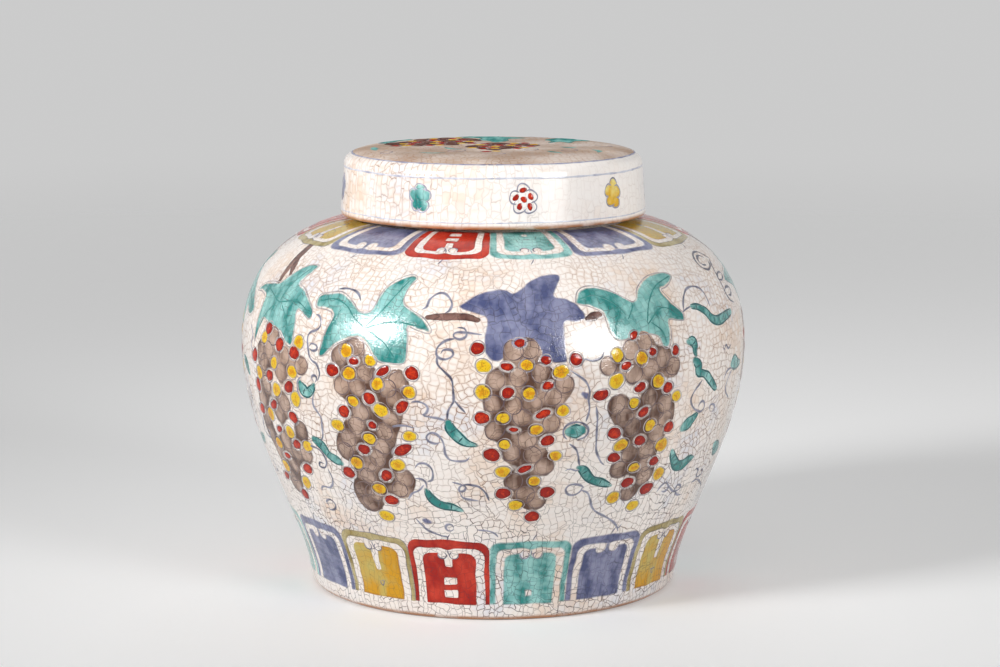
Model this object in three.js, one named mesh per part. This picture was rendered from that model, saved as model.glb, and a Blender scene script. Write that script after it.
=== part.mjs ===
// A round-bellied porcelain jar with a flat cap lid, in millimetres, +Z up.
// The origin is the centre of the foot, on the table. The jar and the lid are two
// separate fired pieces: the lid is a cap that drops over the neck and rests on its rim.
import * as THREE from "three";

const AROUND = 56; // sides of each turned surface

// Jar, outside
const FOOT_RADIUS = 62.6;
const FOOT_HEIGHT = 5;
const FOOT_TUCK = 2.8; // how far the foot's edge turns in to the table
const FOOT_EDGE_TURN = 1.0; // where that turn starts, in from the foot's radius
const FOOT_EDGE_LIFT = 0.6;
const BELLY_RADIUS = 85;
const BELLY_HEIGHT = 82;
const SHOULDER_HEIGHT = 124.5; // height of the shoulder where the neck stands on it
const NECK_RADIUS = 44.6;
const NECK_LENGTH = 17.9;

// How the two stretches of the outer wall swell, as lengths of their curve handles
const WAIST_FLARE = 1.46;
const WAIST_HANDLE = 16;
const BELLY_HANDLE = 30;
const BELLY_HANDLE_GAP = 3.8; // the handle over the belly ends this far below the shoulder
const SHOULDER_HANDLE = 5.4;
const SHOULDER_DIP = 0.2; // the shoulder is this much lower where it flattens out

// Jar, walls and inside
const WALL = 4.2;
const NECK_WALL = 4.2;
const NECK_FILLET = 1.9;
const RIM_ROUND = 1.2;
const FOOT_RING_WIDTH = 5.2;
const FOOT_RING_SLOPE = 1.6;
const FOOT_RECESS = 5;
const FLOOR_THICKNESS = 5.5;
const FLOOR_FILLET = 8; // up the wall
const FLOOR_FILLET_REACH = 16; // and in over the floor
const THROAT_FILLET = 5;

// Lid
const NECK_CLEARANCE = 1.6; // all round, between the neck and the lid's skirt
const SKIRT_GAP = 0.7; // between the skirt and the shoulder
const SKIRT_WALL = 5.2;
const SKIRT_DRAFT = 1.2; // the skirt is this much narrower at its top
const LID_THICKNESS = 5.3;
const LID_EDGE_REACH = 14.6; // the top's soft edge, measured in from the side
const LID_EDGE_DROP = 5.2; // and measured down from the top
const SKIRT_EDGE_ROUND = 1.4;

const rimHeight = SHOULDER_HEIGHT + NECK_LENGTH;
const neckBore = NECK_RADIUS - NECK_WALL;
const floorHeight = FOOT_RECESS + FLOOR_THICKNESS;

const at = (radius, height) => new THREE.Vector2(radius, height);

// Points along a curve, without its first, where the profile already stands.
const stretch = (curve, steps) => curve.getPoints(steps).slice(1);

const bend = (from, corner, to) => new THREE.QuadraticBezierCurve(from, corner, to);

// The outer wall from the foot up to the belly.
const lowerWall = new THREE.CubicBezierCurve(
  at(FOOT_RADIUS, FOOT_HEIGHT),
  at(FOOT_RADIUS + WAIST_FLARE, FOOT_HEIGHT + WAIST_HANDLE),
  at(BELLY_RADIUS, BELLY_HEIGHT - BELLY_HANDLE),
  at(BELLY_RADIUS, BELLY_HEIGHT),
);

// The outer wall from the belly over the shoulder to the root of the neck.
const upperWall = new THREE.CubicBezierCurve(
  at(BELLY_RADIUS, BELLY_HEIGHT),
  at(BELLY_RADIUS, SHOULDER_HEIGHT - BELLY_HANDLE_GAP),
  at(NECK_RADIUS + SHOULDER_HANDLE, SHOULDER_HEIGHT - SHOULDER_DIP),
  at(NECK_RADIUS, SHOULDER_HEIGHT),
);

// Points one wall thickness inside a curve of the outer wall, from its end back to its start.
function insideOf(curve, steps) {
  const points = [];
  for (let i = steps; i >= 0; i--) {
    const along = curve.getTangent(i / steps);
    points.push(curve.getPoint(i / steps).add(at(-along.y, along.x).multiplyScalar(WALL)));
  }
  return points;
}

function jarOutside() {
  const footEdge = at(FOOT_RADIUS - FOOT_TUCK, 0);
  const footTurn = at(FOOT_RADIUS - FOOT_EDGE_TURN, FOOT_EDGE_LIFT);
  const shoulder = stretch(upperWall, 15).filter((p) => p.x > NECK_RADIUS + NECK_FILLET);
  const neckCorner = at(NECK_RADIUS, SHOULDER_HEIGHT);
  const neckFoot = at(NECK_RADIUS, SHOULDER_HEIGHT + NECK_FILLET);
  return [
    footEdge,
    ...stretch(bend(footEdge, footTurn, lowerWall.v0), 4),
    ...stretch(lowerWall, 13),
    ...shoulder,
    ...stretch(bend(shoulder[shoulder.length - 1], neckCorner, neckFoot), 3),
  ];
}

function neckRim() {
  const outer = at(NECK_RADIUS, rimHeight - RIM_ROUND);
  const inner = at(neckBore + RIM_ROUND, rimHeight);
  return [
    outer,
    ...stretch(bend(outer, at(NECK_RADIUS, rimHeight), at(NECK_RADIUS - RIM_ROUND, rimHeight)), 3),
    inner,
    ...stretch(bend(inner, at(neckBore, rimHeight), at(neckBore, rimHeight - RIM_ROUND)), 3),
  ];
}

function jarInside() {
  const roof = insideOf(upperWall, 10).filter((p) => p.x > neckBore + THROAT_FILLET);
  const throat = at(neckBore, roof[0].y + THROAT_FILLET);
  const side = insideOf(lowerWall, 9).filter((p) => p.y > floorHeight + FLOOR_FILLET);
  const foot = side[side.length - 1];
  const floorCorner = at(foot.x - WALL / 2, floorHeight);
  const floorEdge = at(foot.x - FLOOR_FILLET_REACH, floorHeight);
  return [
    throat,
    ...stretch(bend(throat, at(neckBore, roof[0].y), roof[0]), 4),
    ...roof.slice(1),
    ...side.slice(1),
    ...stretch(bend(foot, floorCorner, floorEdge), 5),
    at(0, floorHeight),
  ];
}

// From the middle of the recess under the foot, round the outside, over the rim and
// down the inside to the middle of the floor.
function jarProfile() {
  const ringBore = FOOT_RADIUS - FOOT_TUCK - FOOT_RING_WIDTH;
  return [
    at(0, FOOT_RECESS),
    at(ringBore - 2 * FOOT_RING_SLOPE, FOOT_RECESS),
    at(ringBore - FOOT_RING_SLOPE, FOOT_RECESS - FOOT_RING_SLOPE / 2),
    at(ringBore, 0),
    ...jarOutside(),
    ...neckRim(),
    ...jarInside(),
  ];
}

// From the middle of the lid's ceiling, down the skirt, round its edge and over the top.
function lidProfile() {
  const bore = NECK_RADIUS + NECK_CLEARANCE;
  const side = bore + SKIRT_WALL;
  const skirtFoot = SHOULDER_HEIGHT + SKIRT_GAP;
  const top = rimHeight + LID_THICKNESS;
  const cornerIn = at(NECK_RADIUS, rimHeight); // the inner fillet keeps clear of the neck
  const edgeIn = at(bore, skirtFoot + SKIRT_EDGE_ROUND);
  const edgeOut = at(side - SKIRT_EDGE_ROUND, skirtFoot);
  const sideTop = at(side - SKIRT_DRAFT, top - LID_EDGE_DROP);
  const sideFoot = at(side, skirtFoot + SKIRT_EDGE_ROUND);
  const flat = at(side - SKIRT_DRAFT - LID_EDGE_REACH, top);
  return [
    at(0, rimHeight),
    cornerIn,
    ...stretch(bend(cornerIn, at(bore, rimHeight), at(bore, rimHeight - NECK_CLEARANCE)), 3),
    edgeIn,
    ...stretch(bend(edgeIn, at(bore, skirtFoot), at(bore + SKIRT_EDGE_ROUND, skirtFoot)), 3),
    edgeOut,
    ...stretch(bend(edgeOut, at(side, skirtFoot), sideFoot), 4),
    ...stretch(new THREE.LineCurve(sideFoot, sideTop), 3),
    ...stretch(bend(sideTop, at(sideTop.x, top), flat), 10),
    at(0, top),
  ];
}

// A closed profile turned round the +Z axis.
function turned(name, profile, material) {
  const geometry = new THREE.LatheGeometry(profile, AROUND);
  geometry.rotateX(Math.PI / 2);
  const mesh = new THREE.Mesh(geometry, material);
  mesh.name = name;
  return mesh;
}

const crackleGlaze = new THREE.MeshStandardMaterial({
  color: new THREE.Color(0.8, 0.75, 0.7),
  roughness: 0.16,
  metalness: 0,
});

const jarWithLid = new THREE.Group();
jarWithLid.add(turned("jar", jarProfile(), crackleGlaze));
jarWithLid.add(turned("lid", lidProfile(), crackleGlaze));

export default jarWithLid;
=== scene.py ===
"""A lidded porcelain jar under a crackled glaze, painted with grape vines and panel borders.

The painting is laid out on the unrolled wall. A place on it is an angle round the jar in
degrees, 0 at the front (-Y) and growing to the viewer's right, and a length in millimetres
measured up the wall from the edge of the foot, or on the lid from the edge of its skirt.
Every colour is a thin film of enamel with a mesh of its own, raised a little from the glaze.
The front's painting is repeated on the back, half a turn round.
"""

import bpy
import numpy as np
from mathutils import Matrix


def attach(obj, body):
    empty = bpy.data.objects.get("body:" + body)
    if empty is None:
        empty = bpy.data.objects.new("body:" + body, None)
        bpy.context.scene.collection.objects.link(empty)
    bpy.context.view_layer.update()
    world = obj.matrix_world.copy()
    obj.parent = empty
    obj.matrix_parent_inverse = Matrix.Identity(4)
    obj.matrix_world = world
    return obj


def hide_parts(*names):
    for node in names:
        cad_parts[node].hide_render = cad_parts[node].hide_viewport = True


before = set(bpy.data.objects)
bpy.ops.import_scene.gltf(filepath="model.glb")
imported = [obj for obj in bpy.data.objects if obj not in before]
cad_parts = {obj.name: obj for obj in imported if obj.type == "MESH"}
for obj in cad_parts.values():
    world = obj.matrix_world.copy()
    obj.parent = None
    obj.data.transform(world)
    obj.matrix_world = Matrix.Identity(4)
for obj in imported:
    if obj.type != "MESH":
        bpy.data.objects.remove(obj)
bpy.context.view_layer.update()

MM = 0.001

# Heights over the glaze, in mm. The glaze lies PAINT_ROOM under the skin of the CAD model
# wherever it is painted, so that the thickest enamel stays inside that skin.
PAINT_ROOM = 0.2
ROOM_EASE = 3  # mm along the wall
SINK = 0.04  # how far the rim of a film dips into the glaze
UNDERSIDE = 0.03  # how far a film's underside lies below its rim
LEAF_RELIEF = 0.05
WASH_RELIEF = 0.07
PANEL_RELIEF = 0.08
LINE_RELIEF = 0.1
GRAPE_RELIEF = 0.19

AROUND = 288  # sides of the turned surfaces
OUTSIDE_STEP = 1.0  # mm between rings on the painted walls
HIDDEN_STEP = 2.4  # mm between rings inside, and under the foot


# Small helpers


def rgb(red, green, blue):
    """A colour written as it looks on screen, 0 to 255, as linear RGBA."""
    c = np.array([red, green, blue]) / 255
    linear = np.where(c <= 0.04045, c / 12.92, ((c + 0.055) / 1.055) ** 2.4)
    return (*linear.tolist(), 1.0)


def ease(value, low, high):
    """Smooth step: 0 below low, 1 above high, and 3t^2 - 2t^3 between."""
    t = np.clip((value - low) / (high - low), 0, 1)
    return t * t * (3 - 2 * t)


RIPPLES = 7


def ripple(x, y, size, seed):
    """Smooth unevenness from -1 to 1: twice the mean of RIPPLES plane sine waves, cut off
    at these ends, with seeded directions and phases, and wavelengths round about size."""
    rng = np.random.default_rng(seed)
    heading = rng.uniform(0, 2 * np.pi, RIPPLES)
    phase = rng.uniform(0, 2 * np.pi, RIPPLES)
    wave = 2 * np.pi / (size * rng.uniform(0.7, 1.6, RIPPLES))
    total = 0
    for h, p, w in zip(heading, phase, wave):
        total = total + np.sin(w * (x * np.cos(h) + y * np.sin(h)) + p)
    return np.clip(2 * total / RIPPLES, -1, 1)


# Turned surfaces


def meridian(node):
    """The closed profile of a turned CAD node as (radius, height) in mm, in order from its
    lower point on the axis to its upper one. Its vertices in the half plane x = 0, y <= 0
    are the profile's points, and the edges between them give their order."""
    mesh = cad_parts[node].data
    place = np.empty(len(mesh.vertices) * 3)
    mesh.vertices.foreach_get("co", place)
    place = place.reshape(-1, 3).round(6) / MM
    ends = np.empty(len(mesh.edges) * 2, int)
    mesh.edges.foreach_get("vertices", ends)
    in_plane = (abs(place[:, 0]) < 0.01) & (place[:, 1] < 0.01)
    ends = ends.reshape(-1, 2)
    ends = ends[in_plane[ends].all(1)]
    flat = np.stack([-place[:, 1], place[:, 2]], 1).round(3) + 0.0
    points, which = np.unique(flat[ends.ravel()], axis=0, return_inverse=True)
    pairs = which.reshape(-1, 2)
    order = [int(np.lexsort((points[:, 1], points[:, 0]))[0])]
    while len(order) < len(points):
        near = pairs[(pairs == order[-1]).any(1)].ravel()
        order.append(int(next(i for i in near if i not in order)))
    return points[order]


STRAIGHT = 2.5  # a chord this many times longer than its neighbour is a straight stretch
CORNER = np.radians(40)  # a sharper turn than this stays a corner


def smoothed(points, step):
    """A smooth curve through the points, each chord cut into steps of about the given
    length. The tangent at a point is that of the circle through it and its neighbours;
    next to a straight stretch it follows that stretch. Chords are cubic Hermite arcs."""
    chord = np.diff(points, axis=0)
    length = np.hypot(*chord.T)
    unit = chord / length[:, None]
    before, after = length[:-1], length[1:]
    share = after / (before + after)
    share = np.where(before > STRAIGHT * after, 1, np.where(after > STRAIGHT * before, 0, share))
    tangent = share[:, None] * unit[:-1] + (1 - share[:, None]) * unit[1:]
    tangent /= np.hypot(*tangent.T)[:, None]
    turn = np.arccos(np.clip((unit[:-1] * unit[1:]).sum(1), -1, 1))[:, None]
    leaving = np.vstack([unit[:1], np.where(turn > CORNER, unit[1:], tangent)])
    arriving = np.vstack([np.where(turn > CORNER, unit[:-1], tangent), unit[-1:]])
    pieces = np.ceil(length / step).astype(int)
    which = np.repeat(np.arange(len(chord)), pieces)
    first = np.repeat(np.cumsum(pieces) - pieces, pieces)
    t = ((np.arange(len(which)) - first) / pieces[which])[:, None]
    a, b = points[:-1][which], points[1:][which]
    m, n = (leaving * length[:, None])[which], (arriving * length[:, None])[which]
    curve = (
        (2 * t**3 - 3 * t**2 + 1) * a
        + (t**3 - 2 * t**2 + t) * m
        + (3 * t**2 - 2 * t**3) * b
        + (t**3 - t**2) * n
    )
    return np.vstack([curve, points[-1:]])


def outward(profile):
    """Unit normals of a profile that runs up with the outside on its right hand."""
    along = np.gradient(profile, axis=0)
    along /= np.hypot(*along.T)[:, None]
    return np.stack([along[:, 1], -along[:, 0]], 1)


def length_along(profile):
    """Arc length of each point of a profile from its first."""
    return np.append(0, np.cumsum(np.hypot(*np.diff(profile, axis=0).T)))


def make_room(profile, start, stop):
    """Lowers a painted stretch by PAINT_ROOM along its normal from start to stop, in mm
    along it, easing in and out over ROOM_EASE."""
    s = length_along(profile)
    share = np.minimum(ease(s, start, start + ROOM_EASE), 1 - ease(s, stop - ROOM_EASE, stop))
    return profile - outward(profile) * PAINT_ROOM * share[:, None]


class Wall:
    """A painted stretch of a body's turned surface, found by angle and by length up its
    profile."""

    def __init__(self, body, profile):
        self.body = body
        self.s = length_along(profile)
        self.r, self.z = profile.T
        self.out_r, self.out_z = outward(profile).T

    def radius(self, s):
        return np.interp(s, self.s, self.r)

    def at(self, theta, s, lift):
        """Points in metres: (q sin theta, -q cos theta, h) for theta in radians, where
        (q, h) is the profile's point at length s moved by lift along its normal."""
        q = self.radius(s) + lift * np.interp(s, self.s, self.out_r)
        h = np.interp(s, self.s, self.z) + lift * np.interp(s, self.s, self.out_z)
        return np.stack([q * np.sin(theta), -q * np.cos(theta), h], -1) * MM


def stretches(node, begins, ends):
    """Splits a node's profile into the hidden stretch before the painted one, the painted
    one with its room for paint, and the hidden one after it."""
    points = meridian(node)
    start, stop = begins(points), ends(points)
    before = smoothed(points[: start + 1], HIDDEN_STEP)
    painted = smoothed(points[start : stop + 1], OUTSIDE_STEP)
    after = smoothed(points[stop:], HIDDEN_STEP)
    return before, painted, after


def last_lowest(points):
    """The profile's last point at its lowest height: the outer edge of a foot or skirt."""
    return int(np.flatnonzero(points[:, 1] < points[:, 1].min() + 0.01)[-1])


def neck_root(points):
    """The first point past the belly where the wall runs straight up: the neck's root."""
    belly = int(np.argmax(points[:, 0]))
    upright = abs(np.diff(points[belly:, 0])) < 0.001
    return belly + int(np.flatnonzero(upright)[0])


def lid_end(points):
    return len(points) - 1


jar_under, jar_painted, jar_inside = stretches("jar", last_lowest, neck_root)
lid_under, lid_painted, _ = stretches("lid", last_lowest, lid_end)
jar_painted = make_room(jar_painted, 2.0, length_along(jar_painted)[-1] - 1)
lid_painted = make_room(lid_painted, 0.0, length_along(lid_painted)[-1] + 10)
jar_wall = Wall("jar", jar_painted)
lid_wall = Wall("lid", lid_painted)
LID_REACH = lid_wall.s[-1]  # length of the lid's profile, from its edge to its top's middle
LID_BORDER = 22.6  # where the lid's flat top begins, under its widest blue line


# Meshes


def make_piece(name, body, colour, points, faces, values, sharp=None):
    """A piece of a body in one of the PAINTS, made from arrays: points in metres, faces as
    arrays of polygons with equal sides, values as one number per point, and sharp marking
    points whose edges stay sharp."""
    material, slot = PAINTS[colour]
    mesh = bpy.data.meshes.new(name)
    mesh.vertices.add(len(points))
    mesh.vertices.foreach_set("co", np.ascontiguousarray(points, np.float32).ravel())
    corners = np.concatenate([f.ravel() for f in faces]).astype(np.int32)
    sides = np.concatenate([np.full(len(f), f.shape[1]) for f in faces])
    mesh.loops.add(len(corners))
    mesh.loops.foreach_set("vertex_index", corners)
    mesh.polygons.add(len(sides))
    mesh.polygons.foreach_set("loop_start", (np.cumsum(sides) - sides).astype(np.int32))
    mesh.polygons.foreach_set("use_smooth", np.ones(len(sides), bool))
    mesh.update(calc_edges=True)
    for key, value in values.items():
        data = mesh.attributes.new(key, "FLOAT", "POINT").data
        data.foreach_set("value", np.ascontiguousarray(value, np.float32).ravel())
    if sharp is not None:
        ends = np.empty(len(mesh.edges) * 2, np.int32)
        mesh.edges.foreach_get("vertices", ends)
        marked = sharp[ends.reshape(-1, 2)].all(1)
        mesh.attributes.new("sharp_edge", "BOOLEAN", "EDGE").data.foreach_set("value", marked)
    mesh.materials.append(material)
    piece = bpy.data.objects.new(name, mesh)
    bpy.context.scene.collection.objects.link(piece)
    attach(piece, body)
    return piece


def ring_faces(rings, around):
    """Quads between rings of points that close on themselves, seen from outside when the
    rings run up and the points run to the right."""
    i, j = np.meshgrid(np.arange(rings - 1), np.arange(around), indexing="ij")
    k = (j + 1) % around
    quads = [i * around + j, i * around + k, (i + 1) * around + k, (i + 1) * around + j]
    return np.stack(quads, -1).reshape(-1, 4)


def fan(middle, first, around):
    """Triangles from one point to a ring of points that starts at the number first."""
    j = np.arange(around)
    return np.stack([np.full(around, middle), first + (j + 1) % around, first + j], 1)


WAVER_RADIUS = 40  # mm, of the circle along which a bare border's unevenness is read


def turned(name, body, profile, up, flat, bare):
    """A closed profile turned round Z: ring i is the circle of radius r_i at height z_i,
    and its first and last points on the axis are single vertices with fans round them.
    up and flat place the crackle on each ring. bare says how far a ring has no glaze, and
    its border wavers round the axis."""
    theta = np.arange(AROUND) * 2 * np.pi / AROUND
    r, z = profile[1:-1].T
    ring = np.stack([np.outer(r, np.sin(theta)), -np.outer(r, np.cos(theta))], -1)
    height = np.broadcast_to(z[:, None, None], (*ring.shape[:2], 1))
    points = np.concatenate([ring, height], -1).reshape(-1, 3)
    poles = np.array([[0, 0, profile[0, 1]], [0, 0, profile[-1, 1]]])
    pole = len(points)
    last = pole - AROUND
    fans = np.concatenate([fan(pole, 0, AROUND), fan(pole + 1, last, AROUND)[:, ::-1]])
    uneven = 0.25 * ripple(WAVER_RADIUS * np.sin(theta), WAVER_RADIUS * np.cos(theta), 14, 3)
    bare = ease(bare[1:-1, None] + uneven[None, :], 0.35, 0.65)
    values = {"bare": np.concatenate([bare.ravel(), [bare[0].mean(), bare[-1].mean()]])}
    for key, value in (("up", up * MM), ("flat", flat * MM)):
        values[key] = np.concatenate([np.repeat(value[1:-1], AROUND), value[[0, -1]]])
    points = np.concatenate([points, poles]) * MM
    faces = [ring_faces(len(r), AROUND), fans]
    return make_piece(name, body, "glaze", points, faces, values)


def surface_place(wall, s):
    """Where a film's points lie, for the crackle: their length up the wall in metres, and on
    the lid how far they are past the border of its flat top."""
    flat = (s - LID_BORDER) * MM if wall is lid_wall else np.full(np.shape(s), -1.0)
    return {"up": s * MM, "flat": flat}


FILM_NUDGES = 3  # rounds of moving a film's rim onto its outline
PROBE = 0.05  # mm to each side at which the slope of a field is measured
GENTLEST = 0.25  # a slope whose square is less counts as this


def film(name, colour, wall, place, window, step, field, relief, rim, tone):
    """A closed film of enamel on a wall. field(x, y) is the distance in mm inside the
    painted outline and place(x, y) gives the angle and the length up the wall.

    The film is the part of a square grid with a corner inside the outline, and the grid
    points just outside it are moved along the field's slope onto it. The top rises from the
    rim as a quarter ellipse, lift = relief sqrt(1 - (1 - depth/rim)^2), and the underside
    follows the glaze just below it. tone(x, y) is how thickly the colour lies, from 0 to 1."""
    x, y = np.meshgrid(
        np.arange(window[0], window[1] + step, step), np.arange(window[2], window[3] + step, step)
    )
    inside = field(x, y) > 0
    cell = inside[:-1, :-1] | inside[1:, :-1] | inside[:-1, 1:] | inside[1:, 1:]
    used = np.zeros_like(inside)
    for rows in (slice(None, -1), slice(1, None)):
        for columns in (slice(None, -1), slice(1, None)):
            used[rows, columns] |= cell
    edge = used & ~inside
    ex, ey = x[edge], y[edge]
    for _ in range(FILM_NUDGES):
        here = field(ex, ey)
        dx = (field(ex + PROBE, ey) - field(ex - PROBE, ey)) / (2 * PROBE)
        dy = (field(ex, ey + PROBE) - field(ex, ey - PROBE)) / (2 * PROBE)
        pull = np.clip(here / np.maximum(dx**2 + dy**2, GENTLEST), -step, step)
        ex, ey = ex - pull * dx, ey - pull * dy
    x[edge], y[edge] = ex, ey
    number = np.cumsum(used).reshape(used.shape) - 1
    count = int(used.sum())
    under = np.where(inside, count + np.cumsum(inside).reshape(used.shape) - 1, number)
    x_top, y_top = x[used], y[used]
    depth = np.where(edge[used], 0, np.maximum(field(x_top, y_top), 0))
    rise = np.sqrt(1 - (1 - np.clip(depth / rim, 0, 1)) ** 2)
    theta, s = place(x_top, y_top)
    top = wall.at(theta, s, (relief + SINK) * rise - SINK)
    below = wall.at(theta, s, -SINK - UNDERSIDE * rise)[inside[used]]

    def quads(index):
        corners = [index[:-1, :-1], index[:-1, 1:], index[1:, 1:], index[1:, :-1]]
        return np.stack([c[cell] for c in corners], -1)

    keep = inside[used]
    thickness = np.broadcast_to(tone(x_top, y_top), x_top.shape)
    values = surface_place(wall, s)
    values.update(depth=depth, tone=thickness)
    values = {key: np.append(value, value[keep]) for key, value in values.items()}
    sharp = np.append(edge[used], np.zeros(int(keep.sum()), bool))
    faces = [quads(number), quads(under)[:, ::-1]]
    make_piece(name, wall.body, colour, np.concatenate([top, below]), faces, values, sharp)


# The section of a painted line: its points in half widths, and their shares of the relief
ACROSS = np.array([-1.0, -0.55, 0.0, 0.55, 1.0, 0.0])
OVER = np.array([0.0, 0.85, 1.0, 0.85, 0.0, 0.0])
SIDES = len(ACROSS)
PRESS = 0.22  # share by which the brush presses harder and softer along a line
PRESS_TURN = 0.9  # radians of that wave per mm
THINNEST = 0.05  # share of its width, squared, that is left at an open line's ends


def lines(name, colour, wall, paths, width, relief, tone, closed=False):
    """Painted lines. Each path, (angle in degrees, length) per point, carries a six-sided
    section: a low arch over the glaze, with one point under it. Its width comes and goes as
    a sine wave. Open lines thin out to their ends as the square root of the distance from
    them."""
    points, quads, caps, tones, depths, ups = [], [], [], [], [], []
    count = 0
    for number, path in enumerate(paths):
        theta, s = np.radians(path[:, 0]), path[:, 1]
        r = wall.radius(s)
        x = np.unwrap(theta) * r.mean()
        if closed:
            ahead = np.stack([np.roll(x, -1) - np.roll(x, 1), np.roll(s, -1) - np.roll(s, 1)])
        else:
            ahead = np.stack([np.gradient(x), np.gradient(s)])
        ahead /= np.maximum(np.hypot(*ahead), 1e-9)
        far = np.append(0, np.cumsum(np.hypot(np.diff(x), np.diff(s))))
        press = 1 + PRESS * np.sin(far * PRESS_TURN + 2.4 * number)
        if not closed:
            to_end = np.minimum(far, far[-1] - far)
            press = press * np.sqrt(np.clip(to_end / (2 * width) + THINNEST, 0, 1))
        half = width / 2 * press
        across = half[:, None] * ACROSS
        angle = theta[:, None] - across * ahead[1][:, None] / r[:, None]
        length = s[:, None] + across * ahead[0][:, None]
        thick = relief * np.clip(press, 0.3, 1)
        lift = OVER * (thick[:, None] + SINK) - SINK
        lift[:, -1] -= UNDERSIDE
        points.append(wall.at(angle, length, lift).reshape(-1, 3))
        size = len(s) * SIDES
        quads.append(ring_faces(len(s) + closed, SIDES) % size + count)
        if not closed:
            cap = np.arange(SIDES)
            caps.append(np.stack([cap[::-1], cap + size - SIDES]) + count)
        tones.append(np.full(size, tone[number] if np.ndim(tone) else tone))
        depths.append(np.tile(1 - abs(ACROSS), len(s)))
        ups.append(length.ravel())
        count += size
    values = surface_place(wall, np.concatenate(ups))
    values.update(depth=np.concatenate(depths), tone=np.concatenate(tones))
    faces = [np.concatenate(kind) for kind in (quads, caps) if kind]
    make_piece(name, wall.body, colour, np.concatenate(points), faces, values)


DROP_RINGS = np.array([0.3, 0.6, 0.85, 0.96, 1.0])  # of a drop's radius
DROP_AROUND = 22


def drops(name, colour, wall, place, spots, relief, seed):
    """Thick round drops of enamel, one per (x, y, half width, half height, tilt) in mm and
    degrees. Each is rings of points over an uneven ellipse, whose radius changes by a few
    per cent with two, three and five waves round, domed as relief (1 - rho^4), with a flat
    underside of one fan."""
    rng = np.random.default_rng(seed)
    spots = np.array(spots, float)
    phi = np.arange(DROP_AROUND) * 2 * np.pi / DROP_AROUND
    phase = rng.uniform(0, 2 * np.pi, (3, len(spots), 1))
    uneven = 1 + 0.05 * np.sin(2 * phi + phase[0]) + 0.04 * np.sin(3 * phi + phase[1])
    uneven = uneven + 0.025 * np.sin(5 * phi + phase[2])
    rho = np.concatenate([[0.0], DROP_RINGS])[None, :, None]
    middle_x, middle_y, wide, tall, tilt = spots.T[..., None, None]
    u = rho * (uneven * np.cos(phi))[:, None, :] * wide
    v = rho * (uneven * np.sin(phi))[:, None, :] * tall
    theta, s = place(*tilted(middle_x, middle_y, u, v, tilt))
    grid = wall.at(theta, s, np.broadcast_to((relief + SINK) * (1 - rho**4) - SINK, s.shape))
    rings = grid[:, 1:].reshape(len(spots), -1, 3)
    ring_up = s[:, 1:].reshape(len(spots), -1)
    theta, s = place(spots[:, 0], spots[:, 1])
    bottom = wall.at(theta, s, -SINK - UNDERSIDE)
    up = np.concatenate([s[:, None], s[:, None], ring_up], 1)
    points = np.concatenate([grid[:, 0, :1], bottom[:, None], rings], 1)
    each = points.shape[1]
    outer = each - DROP_AROUND
    fans = np.concatenate([fan(0, 2, DROP_AROUND)[:, ::-1], fan(1, outer, DROP_AROUND)])
    quads = ring_faces(len(DROP_RINGS), DROP_AROUND)[:, ::-1] + 2
    offset = (np.arange(len(spots)) * each)[:, None, None]
    depth = np.concatenate([[1, 0], np.repeat(1 - DROP_RINGS, DROP_AROUND)])
    values = surface_place(wall, up.ravel())
    values["depth"] = np.tile(depth, len(spots))
    values["tone"] = np.repeat(rng.uniform(0, 1, len(spots)), each)
    rim = np.zeros(each, bool)
    rim[outer:] = True
    faces = [(fans[None] + offset).reshape(-1, 3), (quads[None] + offset).reshape(-1, 4)]
    sharp = np.tile(rim, len(spots))
    make_piece(name, wall.body, colour, points.reshape(-1, 3), faces, values, sharp)


# Outlines and the distance inside them


def spans(p0, p1, p2, p3, steps):
    """Catmull-Rom curves from p1 to p2, the cubics whose slope at a point is half the way
    from its neighbour before to its neighbour after, as points one after another."""
    t = np.linspace(0, 1, steps, endpoint=False)[:, None, None]
    curve = p1 + t / 2 * (p2 - p0) + t**2 / 2 * (2 * p0 - 5 * p1 + 4 * p2 - p3)
    curve = curve + t**3 / 2 * (3 * p1 - p0 - 3 * p2 + p3)
    return curve.swapaxes(0, 1).reshape(-1, p1.shape[1])


def closed_curve(points):
    """A smooth closed curve through the points, with seven points to each span."""
    p = np.array(points, float)
    return spans(np.roll(p, 1, 0), p, np.roll(p, -1, 0), np.roll(p, -2, 0), 7)


def open_curve(points, step):
    """A smooth open curve through the points, at even steps of its length. Beyond each end
    stands a mirrored neighbour."""
    p = np.array(points, float)
    p = np.vstack([2 * p[:1] - p[1:2], p, 2 * p[-1:] - p[-2:-1]])
    curve = np.vstack([spans(p[:-3], p[1:-2], p[2:-1], p[3:], 12), p[-2:-1]])
    far = length_along(curve[:, :2])
    even = np.linspace(0, far[-1], max(int(far[-1] / step), 4) + 1)
    return np.stack([np.interp(even, far, column) for column in curve.T], 1)


def field_of(measure):
    """The field f(x, y), for arrays of any shape, of a measure that gets its places as two
    columns and returns one number for each row."""

    def field(x, y):
        return measure(np.ravel(x)[:, None], np.ravel(y)[:, None]).reshape(np.shape(x))

    return field


def nearest_on(start, side, x, y):
    """For each place, a row, and each stretch from its start along its side, a column: how
    far along the stretch, 0 to 1, its nearest point to the place is, and the distance."""
    long2 = np.maximum((side**2).sum(1), 1e-12)
    u, v = x - start[:, 0], y - start[:, 1]
    t = np.clip((u * side[:, 0] + v * side[:, 1]) / long2, 0, 1)
    return t, np.hypot(u - t * side[:, 0], v - t * side[:, 1])


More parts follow.
